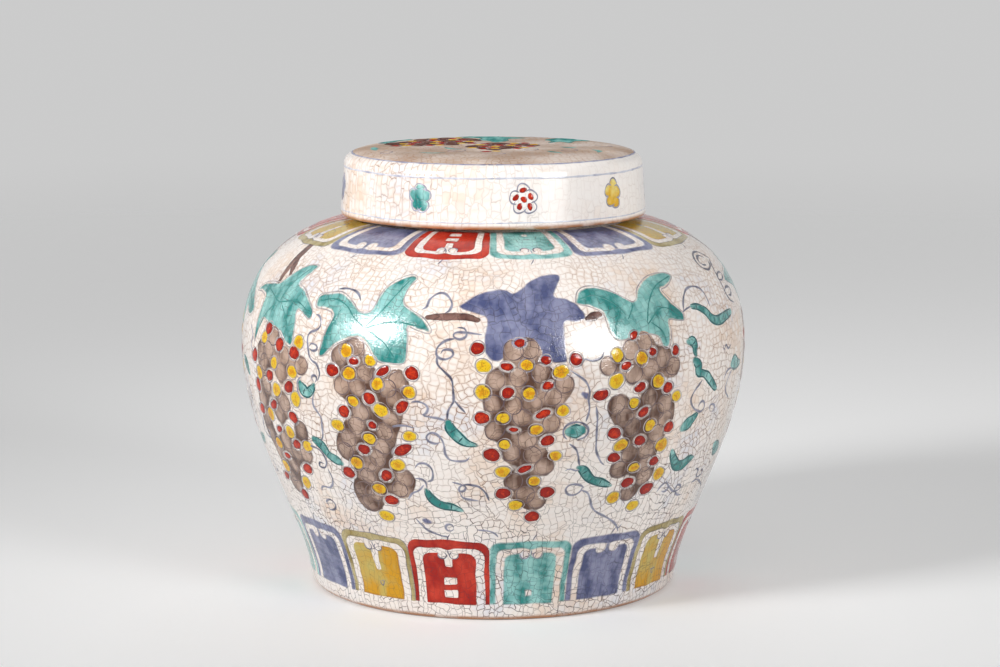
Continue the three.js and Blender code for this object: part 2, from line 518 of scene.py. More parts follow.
def within(outline):
    """The field of a closed outline: the distance to its nearest side, positive inside,
    where a line to the right crosses the outline an odd number of times."""
    a, b = outline, np.roll(outline, -1, 0)
    side = b - a
    rise = np.where(side[:, 1] == 0, 1, side[:, 1])

    @field_of
    def field(x, y):
        gap = nearest_on(a, side, x, y)[1].min(1)
        level = (a[:, 1] > y) != (b[:, 1] > y)
        crossed = level & (x < a[:, 0] + (y - a[:, 1]) * side[:, 0] / rise)
        return np.where(crossed.sum(1) % 2 == 1, gap, -gap)

    return field


def along_stroke(path):
    """The field of a brush stroke, whose points are (x, y, half width): the half width at
    the nearest place of each stretch, less the distance to it, and the greatest of these."""
    side = np.diff(path, axis=0)

    @field_of
    def field(x, y):
        t, gap = nearest_on(path[:-1], side[:, :2], x, y)
        return (path[:-1, 2] + t * side[:, 2] - gap).max(1)

    return field


def round_spots(spots, radius):
    """The field of equal discs: the radius less the distance to the nearest middle."""
    return field_of(lambda x, y: radius - np.hypot(x - spots[:, 0], y - spots[:, 1]).min(1))


def run_together(spots, radius, reach):
    """The field of discs whose wash runs together. With d the distances to the middles it is
    radius - reach sqrt(-ln(sum of exp(-(d / reach)^2))), which for a lone disc is radius - d."""

    @field_of
    def field(x, y):
        square = (x - spots[:, 0]) ** 2 + (y - spots[:, 1]) ** 2
        pull = np.clip(np.exp(-square / reach**2).sum(1), 1e-12, 1)
        return radius - reach * np.sqrt(-np.log(pull))

    return field


def in_spots(spots, spare):
    """The field of ellipses given as (x, y, half width, half height, tilt), each larger by
    spare: its smaller half times 1 less the distance from its middle, counted in halves."""
    cos, sin = np.cos(np.radians(spots[:, 4])), np.sin(np.radians(spots[:, 4]))
    wide, tall = spots[:, 2] + spare, spots[:, 3] + spare

    @field_of
    def field(x, y):
        x, y = x - spots[:, 0], y - spots[:, 1]
        u, v = (x * cos + y * sin) / wide, (y * cos - x * sin) / tall
        return ((1 - np.hypot(u, v)) * np.minimum(wide, tall)).max(1)

    return field


def tilted(x, y, u, v, degrees):
    """Where (u, v) lies, as (x, y), if its axes start at (x, y) and are tilted."""
    t = np.radians(degrees)
    return x + u * np.cos(t) - v * np.sin(t), y + u * np.sin(t) + v * np.cos(t)


def box_field(x, y, half_width, bottom, top, corner):
    """Distance inside a box whose two upper corners are rounded."""
    down = np.maximum(abs(x) - half_width, bottom - y)
    u = abs(x) - (half_width - corner)
    v = y - (top - corner)
    rounded = np.hypot(np.maximum(u, 0), np.maximum(v, 0)) + np.minimum(np.maximum(u, v), 0)
    return -np.maximum(down, rounded - corner)


def waver(field, amount, size, seed):
    """The same field drawn by hand: its outline moves in and out by about the amount."""
    return lambda x, y: field(x, y) + amount * ripple(x, y, size, seed)


# Places on the walls


def unrolled(wall, theta0):
    """x in mm round the wall from the angle theta0, y up the wall."""
    return lambda x, y: (np.radians(theta0) + x / wall.radius(y), y)


def to_local(wall, theta0, points):
    """(angle, length, ...) points as (x, y, ...) points of unrolled(wall, theta0)."""
    local = np.array(points, float)
    local[:, 0] = wall.radius(local[:, 1]) * np.radians(local[:, 0] - theta0)
    return local


def to_wall(wall, theta0, points):
    """(x, y) points of unrolled(wall, theta0) as (angle in degrees, length) points."""
    angle = theta0 + np.degrees(points[:, 0] / wall.radius(points[:, 1]))
    return np.stack([angle, points[:, 1]], 1)


def lid_plan(x, y):
    """x to the right and y to the back on the flat top of the lid, from its middle."""
    return np.arctan2(x, -y), LID_REACH - np.hypot(x, y)


def lid_plan_path(points):
    """The same for a path of points, as (angle in degrees, length) points."""
    theta, s = lid_plan(points[:, 0], points[:, 1])
    return np.stack([np.degrees(np.unwrap(theta)), s], 1)


# Materials


class Value:
    """The output of a shader node. Sums, differences and products with numbers or with other
    values are math nodes of the same tree."""

    def __init__(self, shader, socket):
        self.shader = shader
        self.socket = socket

    def __add__(self, other):
        return self.shader.math("ADD", self, other)

    def __mul__(self, other):
        return self.shader.math("MULTIPLY", self, other)

    def __sub__(self, other):
        return self.shader.math("SUBTRACT", self, other)

    def __rsub__(self, other):
        return self.shader.math("SUBTRACT", other, self)


class Shader:
    """Adds nodes to a tree."""

    def __init__(self, tree):
        self.tree = tree

    @property
    def place(self):
        """Where a point lies on its object, in metres."""
        return self.node("ShaderNodeTexCoord", output="Object")

    def node(self, kind, inputs=(), output=0, **settings):
        """Adds a node with these settings. Each input, by name or number, is a constant or
        the Value of another node. Returns the Value of its output."""
        made = self.tree.nodes.new(kind)
        for key, value in settings.items():
            setattr(made, key, value)
        for key, value in dict(inputs).items():
            if isinstance(value, Value):
                self.tree.links.new(value.socket, made.inputs[key])
            else:
                made.inputs[key].default_value = value
        return Value(self, made.outputs[output])

    def link(self, inputs, made):
        """Links values to the inputs of a node that is there already."""
        for key, value in inputs.items():
            self.tree.links.new(value.socket, made.inputs[key])

    def math(self, operation, a, b=0.0):
        return self.node("ShaderNodeMath", {0: a, 1: b}, operation=operation)

    def least(self, a, b):
        return self.math("MINIMUM", a, b)

    def most(self, a, b):
        return self.math("MAXIMUM", a, b)

    def clamped(self, value):
        return self.node("ShaderNodeClamp", {0: value})

    def mixed(self, factor, a, b):
        return self.node("ShaderNodeMix", {0: factor, 6: a, 7: b}, 2, data_type="RGBA")

    def faded(self, value, start, end, low=1.0, high=0.0):
        """low below start, high above end, and eased between."""
        ends = {"From Min": start, "From Max": end, "To Min": low, "To Max": high}
        inputs = {"Value": value, **ends}
        return self.node("ShaderNodeMapRange", inputs, interpolation_type="SMOOTHSTEP")

    def attribute(self, name):
        return self.node("ShaderNodeAttribute", {}, 2, attribute_name=name)

    def parts(self, vector, kind="XYZ"):
        """The three parts of a vector, or of a colour if the kind is Color."""
        made = self.tree.nodes.new("ShaderNodeSeparate" + kind)
        self.link({0: vector}, made)
        return [Value(self, out) for out in made.outputs]

    def vector(self, *numbers):
        return self.node("ShaderNodeCombineXYZ", dict(enumerate(numbers)))

    def moved(self, vector, shift, amount):
        """The vector plus amount times the shift."""
        inputs = {0: shift, 1: (amount,) * 3, 2: vector}
        return self.node("ShaderNodeVectorMath", inputs, operation="MULTIPLY_ADD")

    def noise(self, size_mm, detail=2.0, place=None):
        """Noise round about 0.5, with lumps of the given size."""
        inputs = {"Vector": place or self.place, "Scale": 1000 / size_mm, "Detail": detail}
        return self.node("ShaderNodeTexNoise", inputs)

    def stirred(self, vector, scale, amount):
        """The vector bent by up to half the amount, in metres, each way along each axis, by
        smooth noise with this many lumps to the metre."""
        inputs = {"Vector": vector, "Scale": scale, "Detail": 1.0}
        swirl = self.node("ShaderNodeTexNoise", inputs, 1)
        inputs = {0: swirl, 1: (0.5, 0.5, 0.5)}
        swirl = self.node("ShaderNodeVectorMath", inputs, operation="SUBTRACT")
        return self.moved(vector, swirl, amount)

    def chance(self, *numbers, output=0):
        """A number, or with output 1 a colour, drawn for each set of numbers."""
        return self.node("ShaderNodeTexWhiteNoise", {"Vector": self.vector(*numbers)}, output)


CRACK_FIELD_MM = 9.0  # size of the fields in which the long cracks run the same way
LONG_CRACKS_MM = 2.3  # between the long cracks of a field
SHORT_CRACKS_MM = 2.0  # between the short cracks that join two long ones
CRACK_EDGES = (0.03, 0.17)  # mm from its middle, where a crack starts to fade and is gone
CRACK_GIRTH = 0.074  # radius in metres at which the pattern has its true width
FIELD_JUMP = 0.08  # metres by which the pattern is shifted, at most, from field to field
SKIRT_HEIGHTS = (0.1247, 0.1252)  # metres up, between the shoulder and the lid's skirt
LID_TOP_HEIGHTS = (0.143, 0.144)  # metres up, between the lid's ceiling and its top


def crack_chart(s):
    """The surface spread flat, in metres, for the crackle. On a wall it is the angle round
    the axis times CRACK_GIRTH, and the length up the wall; on a flat top or floor it is x
    and y. Both are bent a little by noise. Returns the chart, the distance to the line up
    the back of the walls where its two ends meet, and 1 on a flat top or floor."""
    x, y, bent_height = s.parts(s.stirred(s.place, 90, 0.0024))
    up = s.attribute("up") + bent_height - s.parts(s.place)[2]
    around = s.math("ARCTAN2", x, y * -1) * CRACK_GIRTH
    flat = s.math("GREATER_THAN", s.attribute("flat"), 0.0)
    inputs = {0: flat, 4: s.vector(around, up), 5: s.vector(x, y)}
    chart = s.node("ShaderNodeMix", inputs, 1, data_type="VECTOR")
    seam = s.math("ABSOLUTE", x) + s.math("LESS_THAN", y, 0.0) + flat
    return chart, seam, flat


def nearest_crack(s, place, spacing_mm):
    """Parallel cracks at even steps of a coordinate in metres: the number of the stretch
    between two cracks, the number of the nearest crack, and its distance in mm."""
    along = place * (1000 / spacing_mm)
    crack = s.math("ROUND", along)
    gap = s.math("ABSOLUTE", along - crack)
    return s.math("FLOOR", along), crack, gap * spacing_mm


def crackle_group():
    """The glaze that everything shares: a warm white ground with stains, browner on top of
    the lid, partly stains and partly painted shade, and the crackle.
    The first cracks are the borders of large Voronoi fields. In each field long cracks run
    side by side, wavering, in a direction of their own, and short cracks join them, at
    other places in every strip, so that they end at the long ones as real cracks do. Round
    the side of the lid the long cracks all run up and down, and the glaze is whiter; to its
    right the cracks and stains are painted fainter still, a painted highlight for the glare
    of the right lamp. On top the lid is worn dull."""
    s = Shader(bpy.data.node_groups.new("crackled_ground", "ShaderNodeTree"))
    rightward, _, height = s.parts(s.place)
    chart, seam, flat = crack_chart(s)
    lid_side = s.faded(height, *SKIRT_HEIGHTS, 0.0, 1.0) * (1 - flat)
    lid_top = s.faded(height, *LID_TOP_HEIGHTS, 0.0, 1.0) * flat
    # The right of the lid's side is painted cleaner, its cracks and stains faded: a painted
    # highlight for the glare of the right lamp.
    painted_glare = s.faded(rightward, -0.04, 0.035, 0.0, 0.75) * lid_side
    clear_of_painted_glare = 1 - painted_glare

    roamed = s.stirred(chart, 240, 0.0034)

    def fields(feature, output):
        inputs = {"Vector": roamed, "Scale": 1000 / CRACK_FIELD_MM, "Randomness": 0.85}
        settings = {"voronoi_dimensions": "2D", "feature": feature}
        return s.node("ShaderNodeTexVoronoi", inputs, output, **settings)

    field_mm = s.least(fields("DISTANCE_TO_EDGE", 0) * CRACK_FIELD_MM, seam * 1000)
    field = fields("F1", 1)
    slant, side, lot = s.parts(field, "Color")
    turn = s.math("GREATER_THAN", side, 0.55) * (np.pi / 2) + slant * 0.9 - 0.45
    inputs = {"Vector": chart, "Angle": turn * (1 - lid_side)}
    chart = s.moved(s.node("ShaderNodeVectorRotate", inputs), field, FIELD_JUMP)
    across, along, _ = s.parts(s.stirred(chart, 330, 0.0026))
    across = across * s.faded(lid_side, 0, 1, 1.0, 0.6)
    strip, long_crack, long_mm = nearest_crack(s, across, LONG_CRACKS_MM)
    along = along * s.faded(lid_side, 0, 1, 1.0, 0.62) + s.chance(strip) * 0.3
    block, short_crack, short_mm = nearest_crack(s, along, SHORT_CRACKS_MM)

    patches = s.faded(s.noise(20, 3), 0.36, 0.62, 0.45, 1.0)
    short_ink = s.faded(s.chance(strip, short_crack, 7.0), 0.1, 1.0, 0.0, 1.0)
    long_ink = s.chance(long_crack, block, 3.0) * 0.55 + 0.45
    crack = s.faded(long_mm, *CRACK_EDGES) * long_ink
    crack = s.most(crack, s.faded(short_mm, *CRACK_EDGES) * short_ink)
    crack = s.most(crack, s.faded(field_mm, *CRACK_EDGES, 0.65, 0.0)) * patches * clear_of_painted_glare

    stain_lot, cool_lot, cell = s.parts(s.chance(strip, block, lot, output=1), "Color")
    stained = s.faded(s.noise(24, 4), 0.46, 0.68, 0.06, 0.9) * (stain_lot * 0.7 + 0.2)
    clean = s.mixed(lid_side, rgb(244, 237, 231), rgb(243, 237, 232))
    ground = s.mixed(stained * clear_of_painted_glare, clean, rgb(226, 194, 164))
    cool = s.faded(s.noise(19, 3), 0.48, 0.7, 0.1, 0.8) * (cool_lot * 0.7 + 0.3)
    ground = s.mixed(cool * clear_of_painted_glare, ground, rgb(214, 216, 226))
    # On top of the lid the ground is browner in patches: partly stains, partly painted shade for a
    # top that the lamps light only at a slant.
    lid_top_stains_and_shade = s.faded(s.noise(15, 4), 0.3, 0.7, 0.4, 0.9) * lid_top
    ground = s.mixed(lid_top_stains_and_shade, ground, rgb(166, 142, 125))
    warmth = s.clamped(s.faded(height, 0.03, 0.1, 0.0, 0.6) + s.noise(13) * 1.3 - 0.45)
    warmth = warmth * (1 - painted_glare * 0.6)
    nearest = s.least(s.least(long_mm, short_mm), field_mm)
    halo = s.faded(nearest, 0.0, 0.75, 0.4, 0.0) * patches * (warmth * 0.8 + 0.2) * clear_of_painted_glare
    ground = s.mixed(halo, ground, rgb(196, 156, 122))
    ink = s.mixed(warmth, rgb(52, 48, 56), rgb(158, 114, 84))
    strength = s.faded(height, 0.025, 0.105, 1.5, 0.72)
    results = {
        "Ground": s.mixed(crack * strength, ground, ink),
        "Crack": crack,
        "Relief": s.noise(1.6, 1) * 0.22 + s.noise(9, 1) * 1.1 - crack * 0.35,
        "Cell": cell,
        "Dull": lid_top,
    }
    for name in results:
        kind = "NodeSocketColor" if name == "Ground" else "NodeSocketFloat"
        s.tree.interface.new_socket(name, in_out="OUTPUT", socket_type=kind)
    s.link(results, s.tree.nodes.new("NodeGroupOutput"))
    return s.tree


RELIEF_DEPTH = 0.00004  # metres of bump for a relief of 1
PIT_MM = 0.5
DULL_LOSS = 0.95  # share of its gloss that a dull surface lacks
DULL_ROUGHNESS = 0.6  # and what is added to its roughness


def glazed(name, paint, pitting, gloss):
    """A glossy material over the shared crackle. paint(s, glaze) returns the surface's
    colour and how rough it is from the outputs of the shared group, pitting is how deep its
    fine pits are, and gloss is the strength of its reflection."""
    material = bpy.data.materials.new(name)
    material.use_nodes = True
    s = Shader(material.node_tree)
    shared = s.tree.nodes.new("ShaderNodeGroup")
    shared.node_tree = crackled_ground
    glaze = {out.name: Value(s, out) for out in shared.outputs}
    colour, rough = paint(s, glaze)
    relief = glaze["Relief"] + s.noise(PIT_MM, 1) * pitting
    inputs = {
        "Base Color": colour,
        "Specular IOR Level": glaze["Dull"] * (-DULL_LOSS * gloss) + gloss,
        "Roughness": glaze["Dull"] * DULL_ROUGHNESS + rough,
        "Normal": s.node("ShaderNodeBump", {"Distance": RELIEF_DEPTH, "Height": relief}),
    }
    s.link(inputs, s.tree.nodes["Principled BSDF"])
    return material


def glaze_paint(s, glaze):
    """Bare glaze, browned by use near a foot or skirt, and buff clay with a burnt edge where
    a rim was wiped clean of it."""
    bare = s.attribute("bare")
    low = s.faded(s.math("ABSOLUTE", s.attribute("up")), 0.0014, 0.0027)
    worn = low * s.faded(s.noise(7, 4), 0.3, 0.56, 0.5, 1.0)
    ground = s.mixed(worn, glaze["Ground"], rgb(178, 124, 84))
    clay = s.mixed(s.noise(3, 4), rgb(150, 112, 82), rgb(206, 178, 150))
    burnt = s.faded(bare, 0.02, 0.4, 0.0, 1.0) * s.faded(bare, 0.5, 0.95)
    colour = s.mixed(burnt * 0.7, s.mixed(bare, ground, clay), rgb(112, 76, 54))
    return colour, s.faded(bare, 0.2, 0.8, 0.13, 0.75)


def enamel_paint(thin, full, pooled, line, drawn, cover, soft):
    """Enamel over the glaze: thin to full by the film's tone and by brush marks, which are
    longer up the wall than across it, pooled darker along its rim, with a line drawn round
    it, and the glaze showing through, most of all in the outermost soft mm of the film."""

    def paint(s, glaze):
        depth, tone = s.attribute("depth"), s.attribute("tone")
        inputs = {0: s.place, 1: (1, 1, 0.4)}
        drawn_out = s.node("ShaderNodeVectorMath", inputs, operation="MULTIPLY")
        marks = s.noise(1.9, 4, drawn_out) * 1.1 - 0.55
        thick = s.clamped(tone - 0.11 + glaze["Cell"] * 0.22 + marks)
        colour = s.mixed(thick, rgb(*thin), rgb(*full))
        colour = s.mixed(s.faded(depth, 0.2, 1.1, 0.65, 0.0) * thick, colour, rgb(*pooled))
        edge = s.faded(depth, 0.25, 0.5) * s.faded(s.noise(6, 1), 0.4, 0.62, 0.0, drawn)
        colour = s.mixed(edge, colour, rgb(*line))
        colour = s.mixed(glaze["Crack"] * 0.72, colour, rgb(40, 40, 46))
        opaque = thick * (1 - cover) + cover
        fringe = s.most(s.faded(depth, 0.0, soft, 0.3, 1.0), edge)
        return s.mixed(opaque * fringe, glaze["Ground"], colour), 0.1

    return paint


def line_paint(thin, full, under):
    """A brush line that comes and goes, darkest in its middle and fading at its edges into
    the glaze, or into the colour under it where this is given."""

    def paint(s, glaze):
        thick = s.clamped(s.attribute("tone") + s.noise(3, 3) * 2 - 1)
        colour = s.mixed(thick, rgb(*thin), rgb(*full))
        edge = s.faded(s.attribute("depth"), 0.0, 0.7, 0.0, 0.95)
        return s.mixed(edge, rgb(*under) if under else glaze["Ground"], colour), 0.12

    return paint


def drop_paint(rim, round_it, middle, fissure):
    """A thick drop: its rim, the colour round its middle, and the middle, each uneven, with
    the crackle's fissures and fine dark specks over it."""

    def paint(s, glaze):
        depth = s.attribute("depth")
        inward = depth + s.attribute("tone") * 0.5 - 0.35 + s.noise(1.0, 2) * 2 - 1
        colour = s.mixed(s.faded(depth, 0.03, 0.3, 0.0, 1.0), rgb(*rim), rgb(*round_it))
        colour = s.mixed(s.faded(inward, 0.25, 0.85, 0.0, 1.0), colour, rgb(*middle))
        specks = s.faded(s.noise(0.4, 1), 0.56, 0.68, 0.0, 0.55)
        specks = s.most(specks * s.faded(depth, 0.15, 0.6, 0.0, 1.0), glaze["Crack"] * 0.7)
        return s.mixed(specks, colour, rgb(*fissure)), 0.1

    return paint


crackled_ground = crackle_group()

# Each colour's material and its slot in the record
PAINTS = {"glaze": (glazed("crackle_glaze", glaze_paint, 0.05, 0.6), "crackle_glaze")}
COBALT = (84, 88, 116)


def enamel(
    colour, name, slot, thin, full, pooled, line=COBALT, drawn=0.3, cover=0.9, soft=0.3, gloss=0.6
):
    """Adds a film's colour: thin, full and pooled, the line round it and how strongly it is
    drawn, how well it covers the glaze, and the width of its soft rim in mm."""
    paint = enamel_paint(thin, full, pooled, line, drawn, cover, soft)
    PAINTS[colour] = (glazed(name, paint, 1.9, gloss), slot)


def drop_enamel(colour, name, slot, rim, round_it, middle, fissure, gloss):
    """Adds a colour for thick drops."""
    paint = drop_paint(rim, round_it, middle, fissure)
    PAINTS[colour] = (glazed(name, paint, 0.15, gloss), slot)


def brush_line(colour, name, thin, full, under=None):
    """Adds a colour for brush lines."""
    PAINTS[colour] = (glazed(name, line_paint(thin, full, under), 0.1, 0.5), "cobalt_line")


enamel(
    "green", "green_enamel", "green_enamel", (122, 198, 194), (2, 124, 119), (6, 94, 96),
    drawn=0.0, cover=0.84, soft=0.7, gloss=0.8,
)
enamel(
    "violet", "violet_enamel", "violet_enamel", (114, 120, 158), (62, 70, 114), (50, 56, 98),
    drawn=0.2, soft=0.7,
)
enamel(
    "aubergine", "aubergine_enamel", "aubergine_enamel", (174, 140, 118), (86, 54, 38),
    (68, 44, 36), (92, 78, 80), cover=0.82, soft=0.6,
)
# A darker brown wash for the grapes on the lid's top: painted shade for a top that the lamps light
# only at a slant.
enamel(
    "dark wash", "dark_wash", "aubergine_enamel", (158, 116, 100), (84, 44, 36), (64, 34, 28),
    (70, 50, 50), soft=0.4, gloss=0.3,
)
enamel(
    "twig", "twig_brown", "aubergine_enamel", (132, 92, 80), (90, 54, 46), (62, 38, 34),
    (62, 48, 48), drawn=0.5, cover=0.95, soft=0.2,
)
enamel(
    "yellow", "yellow_enamel", "yellow_enamel", (190, 170, 84), (206, 150, 2), (166, 104, 2),
    drawn=0.4, cover=0.97, gloss=0.45,
)
enamel(
    "pale yellow", "blossom_yellow", "yellow_enamel", (234, 222, 122), (222, 170, 14),
    (170, 130, 40),
)
enamel(
    "khaki", "yellow_band", "yellow_enamel", (184, 168, 110), (150, 130, 62), (112, 102, 70),
    drawn=0.8,
)
enamel(
    "red", "red_enamel", "red_enamel", (196, 44, 12), (162, 18, 4), (112, 10, 4), (104, 12, 6),
    cover=0.98, soft=0.2, gloss=0.35,
)
# The red drop's middle is a brighter orange than its rim: a painted highlight on its dome.
drop_enamel(
    "red drop", "red_drop", "red_enamel", (104, 14, 4), (154, 20, 2), (200, 50, 10), (84, 8, 2),
    0.38,
)
drop_enamel(
    "yellow drop", "yellow_drop", "yellow_enamel", (190, 174, 104), (228, 188, 28),
    (212, 144, 6), (130, 88, 12), 0.42,
)
brush_line("cobalt", "cobalt_line", (156, 158, 178), (44, 50, 80))
brush_line("vein", "vein_line", (48, 130, 124), (14, 66, 74), (66, 154, 146))
brush_line("umber", "umber_line", (130, 108, 102), (76, 62, 72), (140, 116, 104))
brush_line("outline", "outline_line", (184, 174, 172), (84, 78, 92))
brush_line("pale blue", "ring_line", (214, 214, 224), (124, 128, 158))


# The two fired bodies


FLOOR_CHART = 40  # radius in mm inside which a floor or ceiling has its crackle laid out flat
FLOORS_BELOW = 20  # mm up, under which the jar's floor and its recess lie


def clay_band(up, inward, full, end):
    """1 within full mm of the middle of a bare band, and 0 past end. The middle is inward mm
    before the edge at which the painted stretch begins."""
    return ease(-abs(up + inward), -end, -full)


def up_from(profile, edge):
    """Length along a profile, counted from its point with the number edge."""
    s = length_along(profile)
    return s - s[edge]


def bodies():
    """Jar and lid, each one closed turned shell. The foot's contact ring, the neck's rim
    and the edge of the lid's skirt are bare clay."""
    profile = np.vstack([jar_under[:-1], jar_painted[:-1], jar_inside])
    up = up_from(profile, len(jar_under) - 1)
    rim = profile[:, 1].max()
    bare = np.maximum(clay_band(up, 2.4, 2.2, 3.4), ease(profile[:, 1], rim - 2.2, rim - 0.4))
    flat = np.where(profile[:, 1] < FLOORS_BELOW, FLOOR_CHART - profile[:, 0], -1)
    jar = turned("jar_body", "jar", profile, up, flat, bare)
    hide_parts("jar")
    profile = np.vstack([lid_under[:-1], lid_painted])
    up = up_from(profile, len(lid_under) - 1)
    flat = np.where(up > 0, up - LID_BORDER, FLOOR_CHART - profile[:, 0])
    lid = turned("lid_body", "lid", profile, up, flat, clay_band(up, 1.2, 1.2, 2.4))
    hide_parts("lid")


# Grapes

RED_SPOT = (2.5, 2.2)  # half width and half height of a red grape, in mm
YELLOW_SPOT = (2.75, 2.5)
PLAIN_GRAPE = 3.0  # radius of the line drawn round a plain grape
GRAPE_PITCH = 5.3  # between the middles of neighbouring grapes
WASH_RADIUS = 3.4  # of the wash over a lone plain grape
WASH_REACH = 4.5  # how far the washes of neighbours run together


GRAPE_AREA = 0.87  # of one grape in a full bunch, as a share of its pitch squared
TRIES = 4000  # random points, of which the bunch takes as many inside as it has grapes
PUSHES = 80
PUSH = 0.3  # share of an overlap that one push takes away


def fill_with_grapes(outline, pitch, seed):
    """Middles of the grapes that fill an outline. They start at random and push each other
    apart until they lie evenly, and the outline pushes them back in."""
    rng = np.random.default_rng(seed)
    field = within(outline)
    low, high = outline.min(0), outline.max(0)
    tries = rng.uniform(low, high, (TRIES, 2))
    inside = tries[field(tries[:, 0], tries[:, 1]) > 0]
    count = int(len(inside) / TRIES * np.prod(high - low) / (GRAPE_AREA * pitch**2))
    free = inside[:count]
    for _ in range(PUSHES):
        away = free[:, None] - free[None]
        gap = np.hypot(away[..., 0], away[..., 1]) + 1e-6
        push = np.clip(pitch - gap, 0, None) * (gap > 1e-3)
        free = free + PUSH * (away / gap[..., None] * push[..., None]).sum(1)
        outside = np.clip(-field(free[:, 0], free[:, 1]), 0, None)
        inward = outline.mean(0) - free
        inward /= np.hypot(*inward.T)[:, None] + 1e-6
        free = free + inward * outside[:, None]
    return free


def rings_round(spots, spare, seed):
    """Closed wavering ellipses round (x, y, half width, half height, tilt) spots, larger by
    spare, as (x, y) paths."""
    rng = np.random.default_rng(seed)
    phi = np.linspace(0, 2 * np.pi, 26, endpoint=False)
    paths = []
    for x, y, wide, tall, tilt in spots:
        a, b = rng.uniform(0, 2 * np.pi, 2)
        size = 1 + 0.05 * np.sin(2 * phi + a) + 0.03 * np.sin(3 * phi + b)
        u, v = (wide + spare) * size * np.cos(phi), (tall + spare) * size * np.sin(phi)
        paths.append(np.stack(tilted(x, y, u, v, tilt), 1))
    return paths


RED_HALO = 0.22  # width of the bare glaze left round a red grape


def grape_bunch(name, wall, place, path, reds, yellows, plain, wash_colour, scale, seed):
    """A hanging bunch: a brown wash over the plain grapes and the gaps between them, kept
    clear of the red ones, a line round every grape, and thick drops of red and yellow. reds
    and yellows have a middle, half widths and a tilt each, and plain grapes a middle and a
    strength."""
    discs = run_together(plain, WASH_RADIUS * scale, WASH_REACH * scale)
    near_red = in_spots(reds, RED_HALO * scale)

    def wash(x, y):
        return np.minimum(discs(x, y), -near_red(x, y))

    def tone(x, y):
        gap = np.hypot(x[:, None] - plain[:, 0], y[:, None] - plain[:, 1])
        near = gap.argmin(1)
        rim = np.clip(gap.min(1) / (3 * scale), 0, 1.2) ** 3
        return plain[near, 2] - 0.2 + 0.35 * rim + 0.4 * ripple(x, y, 7 * scale, seed + 1)

    window = window_of(plain, 5)
    field = waver(wash, 0.12, 3, seed)
    film(f"{name}_wash", wash_colour, wall, place, window, 0.48, field, WASH_RELIEF, 0.5, tone)
    rng = np.random.default_rng(seed + 3)
    size = PLAIN_GRAPE * scale * rng.uniform(0.92, 1.04, len(plain))
    round_plain = np.column_stack([plain[:, :2], size, size, np.zeros(len(plain))])
    for kind, spots, spare, colour, low, high in (
        ("plain", round_plain, 0.0, "umber", 0.3, 0.8),
        ("red", reds, RED_HALO, "outline", 0.2, 0.6),
        ("yellow", yellows, 0.1, "outline", 0.1, 0.7),
    ):
        circles = [path(p) for p in rings_round(spots, spare * scale, seed + 2)]
        tones = rng.uniform(low, high, len(circles))
        title = f"{name}_{kind}_rings"
        lines(title, colour, wall, circles, 0.55 * scale, LINE_RELIEF, tones, closed=True)
    drops(f"{name}_red", "red drop", wall, place, reds, GRAPE_RELIEF, seed + 5)
    drops(f"{name}_yellow", "yellow drop", wall, place, yellows, 0.8 * GRAPE_RELIEF, seed + 6)


def as_spots(middles, usual, scale, seed):
    """Grapes as (x, y, half width, half height, tilt): those given by their middle alone
    get the usual size and vary a little."""
    rng = np.random.default_rng(seed)
    spots = []
    for grape in middles:
        size = np.array(usual) * scale * rng.uniform(0.9, 1.1, 2)
        own = (*size, rng.uniform(-20, 40))
        spots.append((*grape, *own[len(grape) - 2 :]))
    return np.array(spots)


